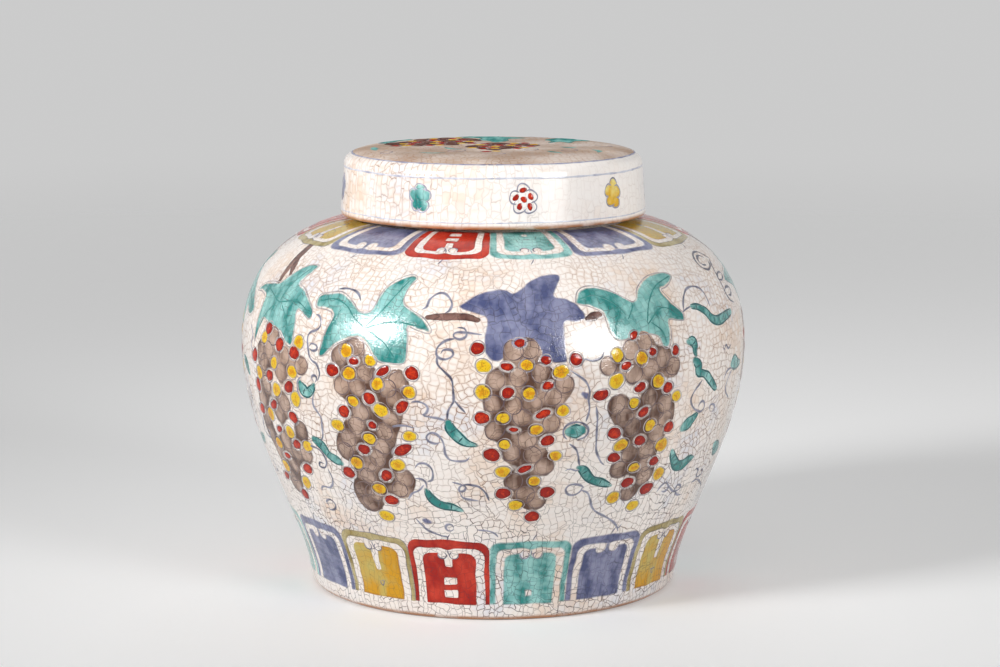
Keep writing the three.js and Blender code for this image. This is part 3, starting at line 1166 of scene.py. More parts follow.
# The bunches: red and yellow grapes as (angle, length up the wall), with their half width,
# half height and tilt where these stand out, and plain grapes with the strength of their wash
BUNCHES = {
    "first": (-58, [
        (-59.7, 97), (-54.2, 92.8, 2.7, 2.2, 20), (-48.5, 91.2), (-66.8, 86.8, 2.9, 2.3, 20),
        (-58.7, 81.8, 2.7, 1.9, 25), (-50.8, 79.6), (-65.8, 77), (-58.5, 72, 2.7, 1.6, 30),
        (-50.8, 69.3), (-66.2, 68.8, 2.8, 1.9, 15), (-58.5, 63.5, 2.4, 1.1, 20),
        (-52, 59.6, 2.7, 1.7, 15), (-58.5, 54, 2.3, 1.2, 5), (-50.5, 51.2, 2.9, 1.9, 15),
        (-64, 45.2, 2.5, 1.6, 15), (-56.5, 40.2, 2.4, 2.0, 0),
    ], [
        (-47.2, 94.8), (-61.3, 93.7), (-56.3, 86.4), (-49.2, 85), (-64, 81.6), (-56, 77.5),
        (-48.7, 76), (-61.2, 68.2), (-53.6, 63.5), (-47.8, 60, 2.9, 2.1, 20), (-61, 58),
        (-61.5, 49.5), (-53.2, 45.4),
    ], [
        (-57, 95, 0.25), (-62.4, 89, 0.35), (-59, 90, 0.3), (-52.1, 89.5, 0.15),
        (-61, 85.8, 0.45), (-53.4, 84, 0.2), (-46, 87.5, 0.15), (-60.7, 78.5, 0.3),
        (-64.2, 73, 0.5), (-53.4, 73.7, 0.35), (-56.5, 70, 0.45), (-48.6, 65.5, 0.8),
        (-64.5, 66.8, 0.55), (-64.1, 61, 0.9), (-56.4, 60, 0.5), (-53, 56.8, 0.45),
        (-49.1, 57, 0.35), (-61.6, 54.2, 0.5), (-57, 51, 0.7), (-59.2, 47.4, 0.75),
        (-58.8, 43.4, 0.55),
    ]),
    "second": (-28, [
        (-31, 91.3, 1.9, 1.4, 0), (-36.6, 87.6, 2.5, 2.2, 0), (-23.8, 88.9, 2.6, 1.4, 30),
        (-17.2, 88.8, 2.5, 2.1, -20), (-27.2, 79.9, 2.2, 2.1, 0), (-19.6, 77.9, 2.7, 1.7, 40),
        (-34, 74.6, 2.3, 2.1, 0), (-27, 71, 1.6, 1.3, -20), (-20.2, 63.4, 3.6, 1.8, 27),
        (-30, 62.3, 2.4, 1.8, 10), (-35.8, 53, 2.6, 2.1, 0), (-25.3, 53.6, 2.4, 1.9, 40),
        (-25.2, 44.5, 2.6, 1.9, 10),
    ], [
        (-33, 94.3), (-26.9, 91.9, 2.3, 2.1, 0), (-32.1, 87.2), (-25.1, 84.7),
        (-17.9, 82.8, 2.4, 2.2, 0), (-31.3, 78.4, 2.6, 1.9, -30), (-24.5, 76.2),
        (-36.2, 69.6, 2.9, 2.1, -10), (-18.3, 68.3, 2.6, 1.8, 15), (-28.1, 66.3, 2.8, 2.2, 0),
        (-32.7, 57.1), (-22, 57.8), (-27.9, 48.4), (-27.6, 38.2, 2.9, 2.1, 0),
    ], [
        (-34.8, 92.2, 0.4), (-30.7, 95.8, 0.4), (-28, 88, 0.3), (-34.1, 83.2, 0.35),
        (-30, 83, 0.55), (-22.6, 83.5, 0.55), (-20.4, 86.3, 0.35), (-21, 80, 0.5),
        (-29.7, 75.2, 0.5), (-22.5, 73.8, 0.55), (-31.1, 70.3, 0.4), (-24.2, 69.3, 0.5),
        (-33.8, 65.7, 0.5), (-35.1, 61.2, 0.5), (-25.1, 64, 0.5), (-27, 59.8, 0.6),
        (-29.5, 57.4, 0.5), (-30.3, 52.8, 0.5), (-20.7, 53.3, 0.5), (-22.4, 49, 0.4),
        (-32.5, 47.5, 0.8), (-29.8, 46.6, 0.6), (-31.3, 42.8, 0.6),
    ]),
    "third": (6.7, [
        (5.8, 98.8, 1.9, 1.5, 0), (-3.2, 97.2, 2.3, 2.0, 30), (11.3, 93.3, 1.8, 1.5, 0),
        (17.9, 93.2, 2.2, 2.1, -30), (3, 91.5, 2.1, 1.3, -10), (3.2, 83.3, 2.1, 1.9, 20),
        (11.7, 85.3, 1.9, 1.4, 15), (-2.3, 75.2, 2.4, 2.1, 0), (10.8, 76.2, 2.7, 1.4, 20),
        (4.5, 71.3, 1.5, 0.8, -5), (12, 67.3, 2.5, 1.8, 20), (-0.2, 62.7, 2.9, 2.2, -15),
        (7.2, 57.6, 2.4, 1.2, 20), (2.4, 48.8, 2.6, 2.0, 0), (12.8, 48.8, 2.6, 2.1, 20),
        (9.7, 39.8, 2.4, 2.2, 0),
    ], [
        (-1.9, 91.7), (7.2, 91.9, 2.4, 2.1, 0), (14.5, 89.4, 2.9, 2.4, 0), (-2, 83.5),
        (7.7, 83, 2.5, 2.3, 0), (15, 77.1, 2.4, 2.1, 0), (2.2, 75.2, 2.4, 2.1, 0),
        (9.4, 71.1, 2.5, 2.1, 0), (2.6, 66.3, 2.1, 2.0, 0), (14, 61.9, 2.2, 1.9, 0),
        (2.3, 56.7, 2.5, 2.2, 0), (9.5, 53.1, 2.3, 2.0, 0), (5.5, 44.4, 2.6, 2.0, 0),
    ], [
        (4.4, 96.5, 0.3), (7.9, 96.7, 0.3), (0.8, 87.4, 0.4), (5.4, 88.2, 0.3),
        (10.1, 89.4, 0.6), (15.2, 85.8, 0.15), (12.8, 81.6, 0.3), (0.2, 80, 0.6),
        (4.3, 79.4, 0.5), (8.3, 79.4, 0.45), (6.3, 75.3, 0.45), (12.6, 73, 0.4),
        (0.5, 71.2, 0.7), (7.5, 67.8, 0.35), (4, 63.6, 0.65), (8.8, 62.6, 0.4),
        (11.6, 58.4, 0.55), (4.9, 53.2, 0.95), (7.7, 48.2, 0.5), (10.2, 46, 0.6),
    ]),
    "fourth": (36, [
        (32, 99.3, 1.8, 1.4, 30), (36.6, 93.5, 1.6, 1.4, 0), (43.3, 92.9, 1.7, 1.7, 0),
        (29.6, 90, 2.0, 1.4, 20), (33.2, 82.6, 2.5, 1.6, 20), (23.6, 81.4, 2.8, 1.9, 15),
        (41, 81.3, 2.2, 1.9, 20), (34.6, 74.3, 2.4, 1.6, 25), (27.6, 68.2, 2.6, 2.1, -20),
        (42.8, 67.8, 2.2, 2.1, 0), (34.7, 64.6, 2.3, 1.9, -10), (28.4, 59.6, 2.5, 1.8, -10),
        (40.4, 56.2, 2.2, 1.7, 0), (33.7, 49.7, 2.6, 1.9, 0), (40.4, 46.1, 2.9, 2.3, 10),
    ], [
        (27.5, 93.5), (33.6, 91.9), (27.2, 85.5), (38, 83.9, 2.9, 2.5, 0),
        (43.8, 78, 2.2, 2.0, 0), (31.8, 77.7, 2.1, 2.0, 0), (36.9, 69.5), (29.8, 63.8),
        (41.5, 61.8), (34.6, 55.1, 2.6, 1.9, 0), (43.2, 51.1), (30.5, 44.6, 2.7, 2.3, 0),
        (37.3, 40.4, 2.6, 2.1, 0),
    ], [
        (34.6, 97, 0.2), (30.9, 94.8, 0.15), (25.2, 90.4, 0.35), (39.4, 91, 0.4),
        (42.3, 88, 0.4), (35.8, 88.4, 0.3), (31.5, 87.2, 0.25), (27.5, 77.8, 0.5),
        (36, 78.6, 0.85), (40.4, 76, 0.4), (29.8, 73.4, 0.6), (32.1, 69.6, 0.9),
        (38.3, 73.6, 0.85), (41.1, 71, 0.4), (39.2, 66.4, 0.35), (32.5, 60.4, 0.75),
        (37.2, 60.8, 0.5), (30.2, 55.2, 0.8), (37.8, 56, 0.45), (38.1, 51.4, 0.5),
        (34.6, 45.8, 0.95),
    ]),
}
SIDE_BUNCH = (90, 5)  # angle of the bunch at each side, and a seed for its grapes


CROWD = 1.6  # pitches within which grapes of one kind keep clear of each other


def mixed_bunch(outline, shares, scale, seed):
    """A bunch made up to fill an outline. shares says how many of its grapes are red, yellow
    and plain. Each grape, from the bottom up, takes the kind that is rarest near it."""
    middles = fill_with_grapes(outline, GRAPE_PITCH * scale, seed)
    middles = middles[np.argsort(middles[:, 1])]
    rng = np.random.default_rng(seed)
    kind = np.zeros(len(middles), int)
    for i in range(1, len(middles)):
        away = np.hypot(*(middles[:i] - middles[i]).T) / (CROWD * GRAPE_PITCH * scale)
        near = np.exp(-(away**2))
        crowd = [near[kind[:i] == number].sum() / share for number, share in enumerate(shares)]
        kind[i] = np.argmin(crowd)
    reds = as_spots(middles[kind == 0], RED_SPOT, scale, seed)
    yellows = as_spots(middles[kind == 1], YELLOW_SPOT, scale, seed + 1)
    plain = middles[kind == 2]
    return reds, yellows, np.column_stack([plain, rng.uniform(0.25, 0.9, len(plain))])


def jar_bunch(name, theta0, turn, grapes, seed):
    """A bunch on the jar's wall, half a turn round if turn is 180."""
    place = unrolled(jar_wall, theta0 + turn)

    def path(points):
        return to_wall(jar_wall, theta0 + turn, points)

    grape_bunch(name, jar_wall, place, path, *grapes, "aubergine", 1.0, seed)


def bunches(side, turn):
    """The four bunches of the front and the made-up one at its right, on one side."""
    for number, (name, (theta0, reds, yellows, plain)) in enumerate(BUNCHES.items()):
        seed = 10 + 7 * number
        reds = to_local(jar_wall, theta0, as_spots(reds, RED_SPOT, 1, seed))
        yellows = to_local(jar_wall, theta0, as_spots(yellows, YELLOW_SPOT, 1, seed + 1))
        grapes = (reds, yellows, to_local(jar_wall, theta0, plain))
        jar_bunch(f"bunch_{name}_{side}", theta0, turn, grapes, seed)
    angle, seed = SIDE_BUNCH
    teardrop = closed_curve(
        [(0, 38), (7, 48), (11, 64), (13, 82), (9, 95), (-8, 96), (-13, 84), (-12, 64), (-6, 47)]
    )
    grapes = mixed_bunch(teardrop, (2, 2, 3), 1, seed)
    jar_bunch(f"bunch_side_{side}", angle, turn, grapes, seed)


# Leaves: outlines and veins as (angle, length up the wall)

LEAVES = {
    "leaf_a": ("green", [
        (-73.5, 107.6), (-70.5, 110.2), (-66, 111.6), (-62.3, 112.2), (-60, 114.5), (-58, 117.3),
        (-56, 119.8), (-53, 121.4), (-50.3, 121.2), (-51.2, 118.3), (-53.2, 113.8), (-50, 111.8),
        (-47, 108.8), (-44.3, 105.2), (-45.2, 102.4), (-49.6, 105), (-49.3, 100), (-49.6, 93.6),
        (-52, 94), (-54.5, 97), (-60, 98.5), (-64, 99.5), (-65.6, 94), (-67.2, 91), (-67.2, 96),
        (-66.3, 104), (-66.6, 107), (-70, 108),
    ], [
        [(-71, 109.8), (-66, 109.6), (-62, 108), (-58, 106.3), (-51, 107.6), (-45, 104.3)],
        [(-58, 106.3), (-56.5, 112), (-52.3, 119.8)],
        [(-59, 106), (-63, 101), (-66.4, 93)],
        [(-56.5, 105.6), (-53, 101), (-50.6, 94.8)],
    ]),
    "leaf_b": ("green", [
        (-44, 110.7), (-41, 112), (-38, 112.6), (-35.5, 111.5), (-33, 109.3), (-31, 107.2),
        (-28.6, 107.4), (-27.5, 109.8), (-26.8, 113), (-25.3, 116.7), (-22.8, 119.5),
        (-20.2, 121), (-18.7, 119.8), (-19.9, 116.5), (-20.4, 113), (-20, 110.3), (-17.5, 108),
        (-15, 105.5), (-13.6, 102), (-16.5, 102.7), (-18.6, 103.3), (-18.3, 99), (-18.7, 92),
        (-22, 91.3), (-25.5, 92.2), (-27.5, 96.5), (-30, 99), (-33, 98.2), (-36.5, 95.5),
        (-39.2, 91.7), (-40.6, 91.8), (-40.3, 95), (-39.3, 100), (-38, 104.5), (-38.8, 106.3),
        (-41.2, 107), (-43.8, 107.2),
    ], [
        [(-43.3, 109), (-39, 110.3), (-35, 108.6), (-32, 104.8), (-29, 102)],
        [(-36, 107.6), (-38, 101), (-39.9, 93)],
        [(-29, 102), (-25.3, 108), (-22.6, 114), (-20, 119.8)],
        [(-29, 102), (-22, 104.5), (-15.2, 103.2)],
        [(-29, 102), (-24, 98), (-21, 93)],
    ]),
    "leaf_c": ("violet", [
        (-7.8, 110.2), (-6, 112.3), (-4, 114.4), (-1.5, 115.8), (1.5, 116.6), (3.4, 116.2),
        (5, 115.2), (7, 117.2), (9, 119.5), (11, 121), (13.5, 122), (16.4, 121.9), (16.8, 120.2),
        (15.8, 117.5), (14.4, 113.8), (17, 112.8), (19.4, 110.6), (20.8, 107.6), (20.9, 105.4),
        (18.5, 104.6), (16, 104.6), (15.8, 100), (15.9, 95), (15.7, 92.2), (12, 92.5), (9, 95.6),
        (6, 97.5), (3.4, 95), (1, 93), (-1.2, 94.5), (-1.9, 99), (-1.4, 104.5), (-1.5, 106.6),
        (-4.5, 108.2),
    ], [
        [(-7, 110.4), (-1, 111.6), (4, 109), (7.5, 105.5)],
        [(7.5, 105.5), (10.5, 112), (15.8, 121)],
        [(7.5, 105.5), (13, 108.2), (20.3, 105.8)],
        [(6.5, 105), (2.6, 100.5), (0.4, 94.6)],
        [(8, 105), (12, 100), (14, 93.6)],
    ]),
    "leaf_d": ("green", [
        (19.2, 111), (20.3, 114.6), (22.4, 116.1), (25, 116), (27.5, 115), (30, 113.3),
        (32, 111.5), (33.6, 110.2), (34.8, 111), (36, 113.6), (38, 115.9), (40.5, 117.8),
        (43, 118.8), (46, 119.2), (48.4, 118.7), (49.4, 117.2), (47.5, 115.2), (45.2, 113.9),
        (43, 113), (44.5, 109), (46, 106.8), (47.7, 104.3), (47.4, 101.8), (45.4, 102),
        (42.7, 102.8), (42.4, 99.5), (41.9, 96), (41, 94.3), (39.8, 94.8), (38.4, 98), (35, 99),
        (30, 98), (27.5, 98.5), (26.3, 101), (26, 104), (25.2, 107.4), (22.4, 109.6),
        (20.6, 110),
    ], [
        [(19.8, 112), (24, 113.2), (28.5, 110), (31, 105.5)],
        [(31, 104), (33, 108), (33.2, 110)],
        [(36, 102), (38, 109), (42, 114.4), (48.6, 117.4)],
        [(36, 102), (41.5, 107), (47, 103.2)],
        [(37, 103), (40, 99.5), (41, 95)],
        [(30, 108), (28, 103.5), (27.6, 99.6)],
    ]),
    "leaf_e": ("green", [
        (75.5, 110.7), (80, 113.2), (85, 114), (87.5, 118), (91, 121), (95.5, 121.3), (96.2, 118),
        (95, 114.5), (99, 111), (104, 106.5), (108.6, 101.2), (105, 98.6), (100.5, 100.8),
        (99.6, 95), (97.5, 91.5), (95, 94.5), (91, 97.5), (87, 94), (84.6, 91.5), (84, 96),
        (84.6, 102), (82.5, 106.5), (78.5, 108.6),
    ], [
        [(76.5, 110.6), (84, 109.6), (91, 106), (99, 105), (107, 101.2)],
        [(91, 106), (92, 113), (95, 120)],
        [(90, 105), (86.5, 99), (85, 93)],
        [(92, 105), (96, 99), (97.3, 93.5)],
    ]),
}

# Twigs and small leaves: strokes as (angle, length, half width)
TWIGS = {
    "twig_branch": [(-64, 129.6, 1.7), (-63.2, 124.5, 2.1), (-62.9, 119, 1.7), (-62.8, 112.6, 1.0)],
    "twig_spur": [(-62.6, 122.5, 1.4), (-60.8, 119, 1.5), (-59.6, 116.2, 0.9)],
    "twig_left": [(-14.4, 106.5, 0.9), (-12, 106.8, 1.3), (-6, 107, 1.25), (-3.2, 106, 0.9)],
    "twig_right": [(21.2, 105.6, 0.9), (22.6, 106.2, 1.5), (24.3, 107, 1.1)],
    "twig_side": [(88, 129.6, 1.6), (89.5, 125, 1.9), (90.6, 119.5, 1.1)],
}
LEAFLETS = [
    [(-44.6, 63, 1.6), (-42.6, 61.6, 2.1), (-41, 58.6, 1.6), (-38.8, 57, 1.9), (-37.4, 56, 1.2)],
    [(-46.6, 81.8, 1.3), (-45.6, 79.8, 2.3), (-44.2, 79, 1.8), (-42.9, 80.4, 1.5),
     (-42.1, 82, 0.9)],
    [(-9.5, 73.4, 1.4), (-9, 71.4, 1.9), (-7.8, 69.2, 2.0), (-6.5, 67.5, 1.7), (-5.2, 66.5, 1.2),
     (-3.3, 66, 0.5)],
    [(-15.7, 49.5, 0.9), (-15.1, 47.2, 1.4), (-13.7, 45, 1.7), (-11.9, 43.8, 1.6),
     (-9.8, 43.4, 1.4), (-7.3, 42.1, 0.7)],
    [(16.8, 70, 1.9), (18.2, 70, 2.7), (19.6, 70.2, 1.8)],
    [(19.8, 57.2, 1.0), (21, 56.2, 1.7), (22.2, 54, 1.8), (23.8, 52.2, 1.5), (26, 51, 1.7),
     (29, 49.4, 0.7)],
    [(47.7, 94.8, 1.2), (49.2, 94.8, 1.9), (49.9, 93, 1.6), (49.8, 91.4, 1.2), (50.2, 90, 0.8)],
    [(49.6, 88.6, 1.4), (51, 86.6, 2.1), (51, 84.6, 1.8), (53, 83.6, 1.3), (54.7, 82.4, 1.7),
     (56.4, 80.4, 1.6), (58.2, 78.2, 1.3), (59.6, 77.1, 0.6)],
    [(52.7, 70.5, 0.7), (51, 68.9, 1.7), (49.4, 67.6, 2.6), (47.8, 66.6, 1.7)],
    [(45.8, 58.8, 1.0), (47.2, 55.6, 1.7), (49.2, 52.8, 2.1), (51.6, 52.4, 2.3), (53.7, 53.6, 1.8),
     (55.8, 54.2, 0.8)],
    [(51.1, 105.8, 0.8), (53.8, 105.2, 1.2), (56.3, 103.4, 1.5), (58.2, 100.8, 1.7),
     (60.9, 99.4, 1.8), (64.6, 99.8, 1.8), (69.9, 100.6, 1.2)],
    [(67.4, 83.6, 1.6), (69.4, 83.8, 2.9), (72, 82.8, 2.0), (75, 82.6, 0.6)],
    [(67, 56, 1.5), (69.6, 53.8, 3.0), (72, 52.6, 1.6)],
    [(101, 55, 0.8), (104, 55.8, 2.3), (107.4, 57.2, 1.0)],
    [(103, 84, 0.9), (105.4, 82.4, 2.0), (108, 79.6, 1.2)],
]
BUDS = [
    [(19.5, 82.2, 0.9), (20.2, 81.5, 1.3), (20.6, 80.8, 0.8)],
    [(-17.5, 37.9, 0.8), (-16.7, 37.5, 1.2), (-15.8, 37.1, 0.7)],
]

# Tendrils: thin brush lines as (angle, length) points
TENDRILS = [
    [(-43.2, 104.5), (-42, 104.1), (-41.1, 102.6), (-41.1, 100.8), (-42.1, 99.5), (-43.6, 98.7),
     (-44.3, 97.5), (-44.4, 96.1), (-44.1, 94.6), (-43.8, 93), (-43.3, 90.9), (-42.4, 89.7),
     (-41.2, 89), (-40.5, 87.5), (-40.2, 85.8), (-40.8, 83.5)],
    [(-43.6, 94.2), (-43.2, 95), (-42.3, 95.1), (-41.4, 94.7), (-41.1, 93.8), (-41.8, 93),
     (-42.9, 93), (-43.5, 93.6)],
    [(-42, 83), (-42.6, 84), (-42.3, 85), (-41.4, 85), (-41.1, 84), (-41.7, 82.8)],
    [(-46, 84), (-47.2, 82.4), (-47.6, 79.8), (-47, 77.6), (-45.8, 76.6)],
    [(-42.2, 79.3), (-42.8, 77), (-42.7, 74.8), (-41.7, 73), (-40.9, 71.2), (-41, 69), (-41.4, 65),
     (-42.6, 62.6)],
    [(-48, 59.6), (-46, 60.4), (-43.4, 59.4), (-42.2, 56.2), (-43.2, 53.4), (-45, 53.4),
     (-44.6, 55), (-43.2, 54.6)],
    [(-42.4, 53), (-41.8, 49), (-43.4, 46), (-46.4, 45.6), (-47.4, 43.8)],
    [(-47.6, 37.4), (-46.4, 36.8), (-44.4, 37.6), (-43.8, 39.6), (-45.2, 41), (-47, 39.8),
     (-46.6, 38.4)],
    [(-39, 113.8), (-36.5, 114.3), (-34, 113.8), (-32.4, 112.4), (-31.5, 110.5)],
    [(-17, 71.2), (-19.6, 71.8), (-23, 71)],
    [(-11.4, 66.9), (-12.4, 66.2), (-14, 66.9), (-14.5, 68.3), (-13.8, 69.6), (-12.9, 69.9),
     (-11.8, 69.1), (-10.9, 67.2), (-10.6, 65.1), (-10.5, 63), (-9.7, 61), (-8.2, 60.4),
     (-6, 60.6), (-5.1, 61.9)],
    [(-17.5, 79.6), (-16.4, 80), (-15.3, 79.8), (-14.2, 79), (-13.8, 77.8), (-14.3, 76.2),
     (-15, 75.6), (-13.2, 75.1), (-11.6, 74.8), (-9.8, 74)],
    [(-17.9, 57.1), (-16.9, 58.8), (-15.4, 59.1), (-14.2, 58), (-13.7, 56.1), (-14, 53.4),
     (-15.3, 52.4)],
    [(-18.2, 53.4), (-16.7, 53.4), (-15.7, 52.4), (-15.5, 49.9)],
    [(-7.6, 103.6), (-6, 103.2), (-5.6, 101), (-7, 99.9), (-8.4, 100.8), (-7.8, 102),
     (-5.4, 102), (-2.2, 101.4)],
    [(-7.6, 100.2), (-10, 99.4), (-11.8, 97), (-11.7, 94.4), (-10, 93.6), (-8.4, 94.8),
     (-8.7, 96.5), (-10.4, 96.5), (-11, 95.2)],
    [(-11.8, 95), (-11.6, 92), (-10, 89.6), (-8.6, 87.4), (-8.3, 84), (-8.2, 80.7), (-8.8, 79),
     (-9.5, 77), (-9.7, 74.2)],
    [(-8.6, 81.4), (-8, 80.7), (-7.2, 79.2), (-6.3, 77.8), (-5.7, 76.8)],
    [(-16, 109), (-14.9, 110), (-14.4, 112.6), (-12.4, 114.8), (-10.6, 114.2), (-9.2, 111.4),
     (-9.6, 109), (-10.6, 108.1)],
    [(-9.4, 52.8), (-7.1, 51.9), (-6.2, 50.9), (-6.8, 49.6), (-7.8, 49.6), (-7.6, 51.2),
     (-6.2, 52), (-4.5, 51.8), (-3, 51.1), (-1.6, 48.9), (-0.8, 46)],
    [(-7.7, 49.2), (-7.1, 47.2), (-5.5, 46.5), (-3.1, 46)],
    [(-20.6, 45.4), (-19.4, 47.8), (-17.6, 49), (-16.2, 51.2)],
    [(-19.5, 38.2), (-18.2, 36), (-16.9, 34.2), (-15, 33), (-13, 32.1), (-11.7, 31.8),
     (-11.9, 30.6)],
    [(-9.9, 35.3), (-10.1, 36.4), (-11, 36.8), (-11.8, 36.2), (-11.9, 35), (-11.2, 34.2),
     (-10.3, 34.4), (-9.9, 35.2)],
    [(-4, 34.9), (-1.4, 34.6), (0.5, 33.6), (1.4, 32.1)],
    [(16.6, 89.8), (18.4, 88), (20, 86), (20.9, 83), (20.7, 80.2), (21, 77), (20.4, 73)],
    [(22.5, 78), (23, 74.2), (23.1, 70.5), (23.3, 66.1), (23.6, 62.7), (25, 58.9), (26.1, 57.3)],
    [(16.4, 67.4), (15.6, 68.6), (15.4, 70.6), (16.2, 72.3), (18, 73.1), (19.9, 72.4), (21.1, 70.4),
     (20.6, 68), (18.6, 66.9)],
    [(24.4, 95.2), (23.6, 93.2), (21.6, 92.4), (19.8, 93), (19, 91)],
    [(17, 65.8), (18.6, 63.9), (19.3, 61.6), (19.7, 59.1), (20, 57.6)],
    [(16.7, 56.4), (17.7, 56.9), (19.2, 56.2), (20.4, 56.4)],
    [(22, 49.4), (21.2, 50.4), (19.8, 51.1), (18.2, 51), (17.3, 49.5), (18.1, 47.6), (19.8, 47.2),
     (21.1, 48.4), (21.5, 50)],
    [(21.3, 48.8), (23.1, 47.5), (24.1, 44.9), (25, 42), (26.6, 39.8), (29.5, 37.6), (32, 35.5),
     (33.8, 33.4), (35, 30.9)],
    [(33.3, 34.5), (34.5, 32.3), (35.5, 33.6)],
    [(52.7, 81.6), (51.5, 80.2), (49.9, 78.3), (49, 75.8), (50, 73.3), (51.9, 71.5), (53.8, 70.8),
     (54.9, 72.1), (54.3, 74), (53.1, 74.2), (52.2, 72.6)],
    [(58, 70.3), (57.2, 71.7), (58.3, 72.2), (59.8, 71.4), (60, 69.9), (59.1, 69.4)],
    [(62.8, 79.4), (64.2, 81.8), (66.4, 82.4), (68.2, 82)],
    [(67.6, 81.6), (66, 80), (64.7, 77.2), (65.2, 74.8), (68.3, 71.8)],
    [(62.1, 91), (62.5, 89.4), (63.6, 90.8), (64.9, 89.4), (66.9, 90.3)],
    [(44.6, 43.8), (45.6, 46), (47.3, 46.9), (48.8, 44.5), (47.8, 43.4), (46.4, 43.8)],
    [(47.1, 47.5), (48.4, 45.6), (49.9, 44), (51.9, 42.4), (54.2, 42.6), (54.5, 43.8), (52.8, 44.7),
     (52.1, 43.2), (53.9, 40.8), (56.3, 40)],
    [(59.2, 48), (60, 48.9), (61.7, 47.6), (61.4, 46.2), (62.8, 45), (65.2, 45.6), (64.4, 47.4),
     (63.2, 47.2)],
    [(60, 43.6), (63, 44), (66.4, 42.2), (70.4, 39.6)],
    [(47.6, 104.4), (49, 105.2), (51.1, 105.9)],
    [(48.1, 104.7), (48.8, 107.4), (50.3, 110), (52.2, 111.8), (55, 112.2), (57.5, 111.1),
     (58.6, 109), (58.9, 106.6), (58.9, 104.4)],
    [(101, 76), (103.6, 74.6), (105.6, 71.6), (104.4, 68.6), (102.4, 69.6), (103, 71.6)],
    [(110, 68), (112, 65), (111, 61), (113.4, 58.6), (115, 60.6), (113.6, 62.4)],
    [(102, 47), (105, 44.4), (108.4, 45.2), (108.6, 48), (106.4, 48.2)],
    [(109, 96), (111.4, 93), (110.6, 89.4), (113, 87.4)],
]
# the darkest and widest of them, a run of loops at the upper right
LOOPS = [
    [(75.8, 119.4), (75, 120.4), (73.8, 121.9), (71.5, 123.6), (68.2, 123.6), (65.5, 121.6),
     (64.9, 119.2), (65.8, 117.3), (68.2, 116.2), (70.7, 116.8), (72.7, 118.3), (73.1, 119.7)],
    [(72.4, 120.4), (70.4, 122), (68.2, 121.8), (66.6, 120.2), (67.2, 118.4), (69.4, 118)],
    [(75.8, 119.4), (73, 117.1), (71.7, 114.6), (70.9, 112.2), (70.9, 110.2), (70.7, 107.8),
     (71, 106), (72.1, 104.1), (75.2, 102.6)],
    [(70.9, 112.2), (72.7, 113.8), (75.3, 113.7), (75.6, 112.2), (73, 111.2), (71, 111.6)],
    [(70.8, 107.2), (72.3, 108.4), (75.2, 108.2), (76.4, 106.8), (74.5, 105.4), (72.2, 105.8)],
]


LEAF_MIDDLE = 105  # length up the wall of the leaves' middles


def leaf_tone(seed, strength=0.5):
    """Two or three strengths of wash, in brush marks that run mostly up and down."""

    def tone(x, y):
        broad = 0.4 * ripple(x, 0.6 * y, 11, seed) + 0.35 * ripple(x, 0.5 * y, 5, seed + 1)
        return strength + broad + 0.15 * ripple(x, y, 2, seed + 2)

    return tone


def veined_tone(paths, seed):
    """A leaf's wash: strongest along its veins, fading to each side of them, and dark again
    at the tips, which lie far from the leaf's middle."""
    veins = [along_stroke(np.column_stack([path, np.zeros(len(path))])) for path in paths]
    marks = leaf_tone(seed)

    def tone(x, y):
        near = np.max([vein(x, y) for vein in veins], axis=0)
        tips = ease(np.hypot(x, y - LEAF_MIDDLE), 9, 18)
        return 0.24 + 0.4 * np.exp(near / 1.5) + 0.3 * tips + 0.75 * (marks(x, y) - 0.5)

    return tone


def window_of(points, margin):
    """The left, right, lower and upper ends of a film's grid round the points."""
    low, high = points[:, :2].min(0) - margin, points[:, :2].max(0) + margin
    return low[0], high[0], low[1], high[1]


def beside(outline, out):
    """A closed outline moved outward by the distances out."""
    ahead = np.roll(outline, -1, 0) - np.roll(outline, 1, 0)
    side = np.stack([ahead[:, 1], -ahead[:, 0]], 1) / np.hypot(*ahead.T)[:, None]
    leftward = (outline * side).sum() < 0
    return outline + (-1 if leftward else 1) * np.reshape(out, (-1, 1)) * side


def leaf(name, turn, colour, outline, veins, seed):
    """A washed leaf. A green one also has a line round it, now inside and now outside its
    outline, and lines for its veins."""
    theta0 = float(np.mean([p[0] for p in outline]))
    shape = closed_curve(to_local(jar_wall, theta0, outline))
    paths = [open_curve(to_local(jar_wall, theta0, vein), 0.8) for vein in veins]
    place = unrolled(jar_wall, theta0 + turn)
    field = waver(within(shape), 0.12, 3, seed)
    tone = veined_tone(paths, seed)
    film(name, colour, jar_wall, place, window_of(shape, 1), 0.5, field, LEAF_RELIEF, 0.5, tone)
    if colour == "green":
        rim = beside(shape, 0.1 + 0.35 * np.sin(np.arange(len(shape)) / 9))
        rim = to_wall(jar_wall, theta0 + turn, rim)
        lines(f"{name}_rim", "outline", jar_wall, [rim], 0.6, LINE_RELIEF, 0.3, closed=True)
        veins = [to_wall(jar_wall, theta0 + turn, path) for path in paths]
        lines(f"{name}_veins", "vein", jar_wall, veins, 0.65, LINE_RELIEF, 0.2)


def stroke(name, turn, colour, points, seed, relief, strength):
    """A single brush stroke on the jar, from its (angle, length, half width) points."""
    theta0 = points[0][0]
    path = open_curve(to_local(jar_wall, theta0, points), 0.6)
    place = unrolled(jar_wall, theta0 + turn)
    field = waver(along_stroke(path), 0.12, 2, seed)
    tone = leaf_tone(seed, strength)
    film(name, colour, jar_wall, place, window_of(path, 4), 0.4, field, relief, 0.4, tone)


LEAFLET_EDGE = 0.8  # how far out a small leaf's side lines run, in half widths
BAR_EVERY = 6  # steps of 0.6 mm


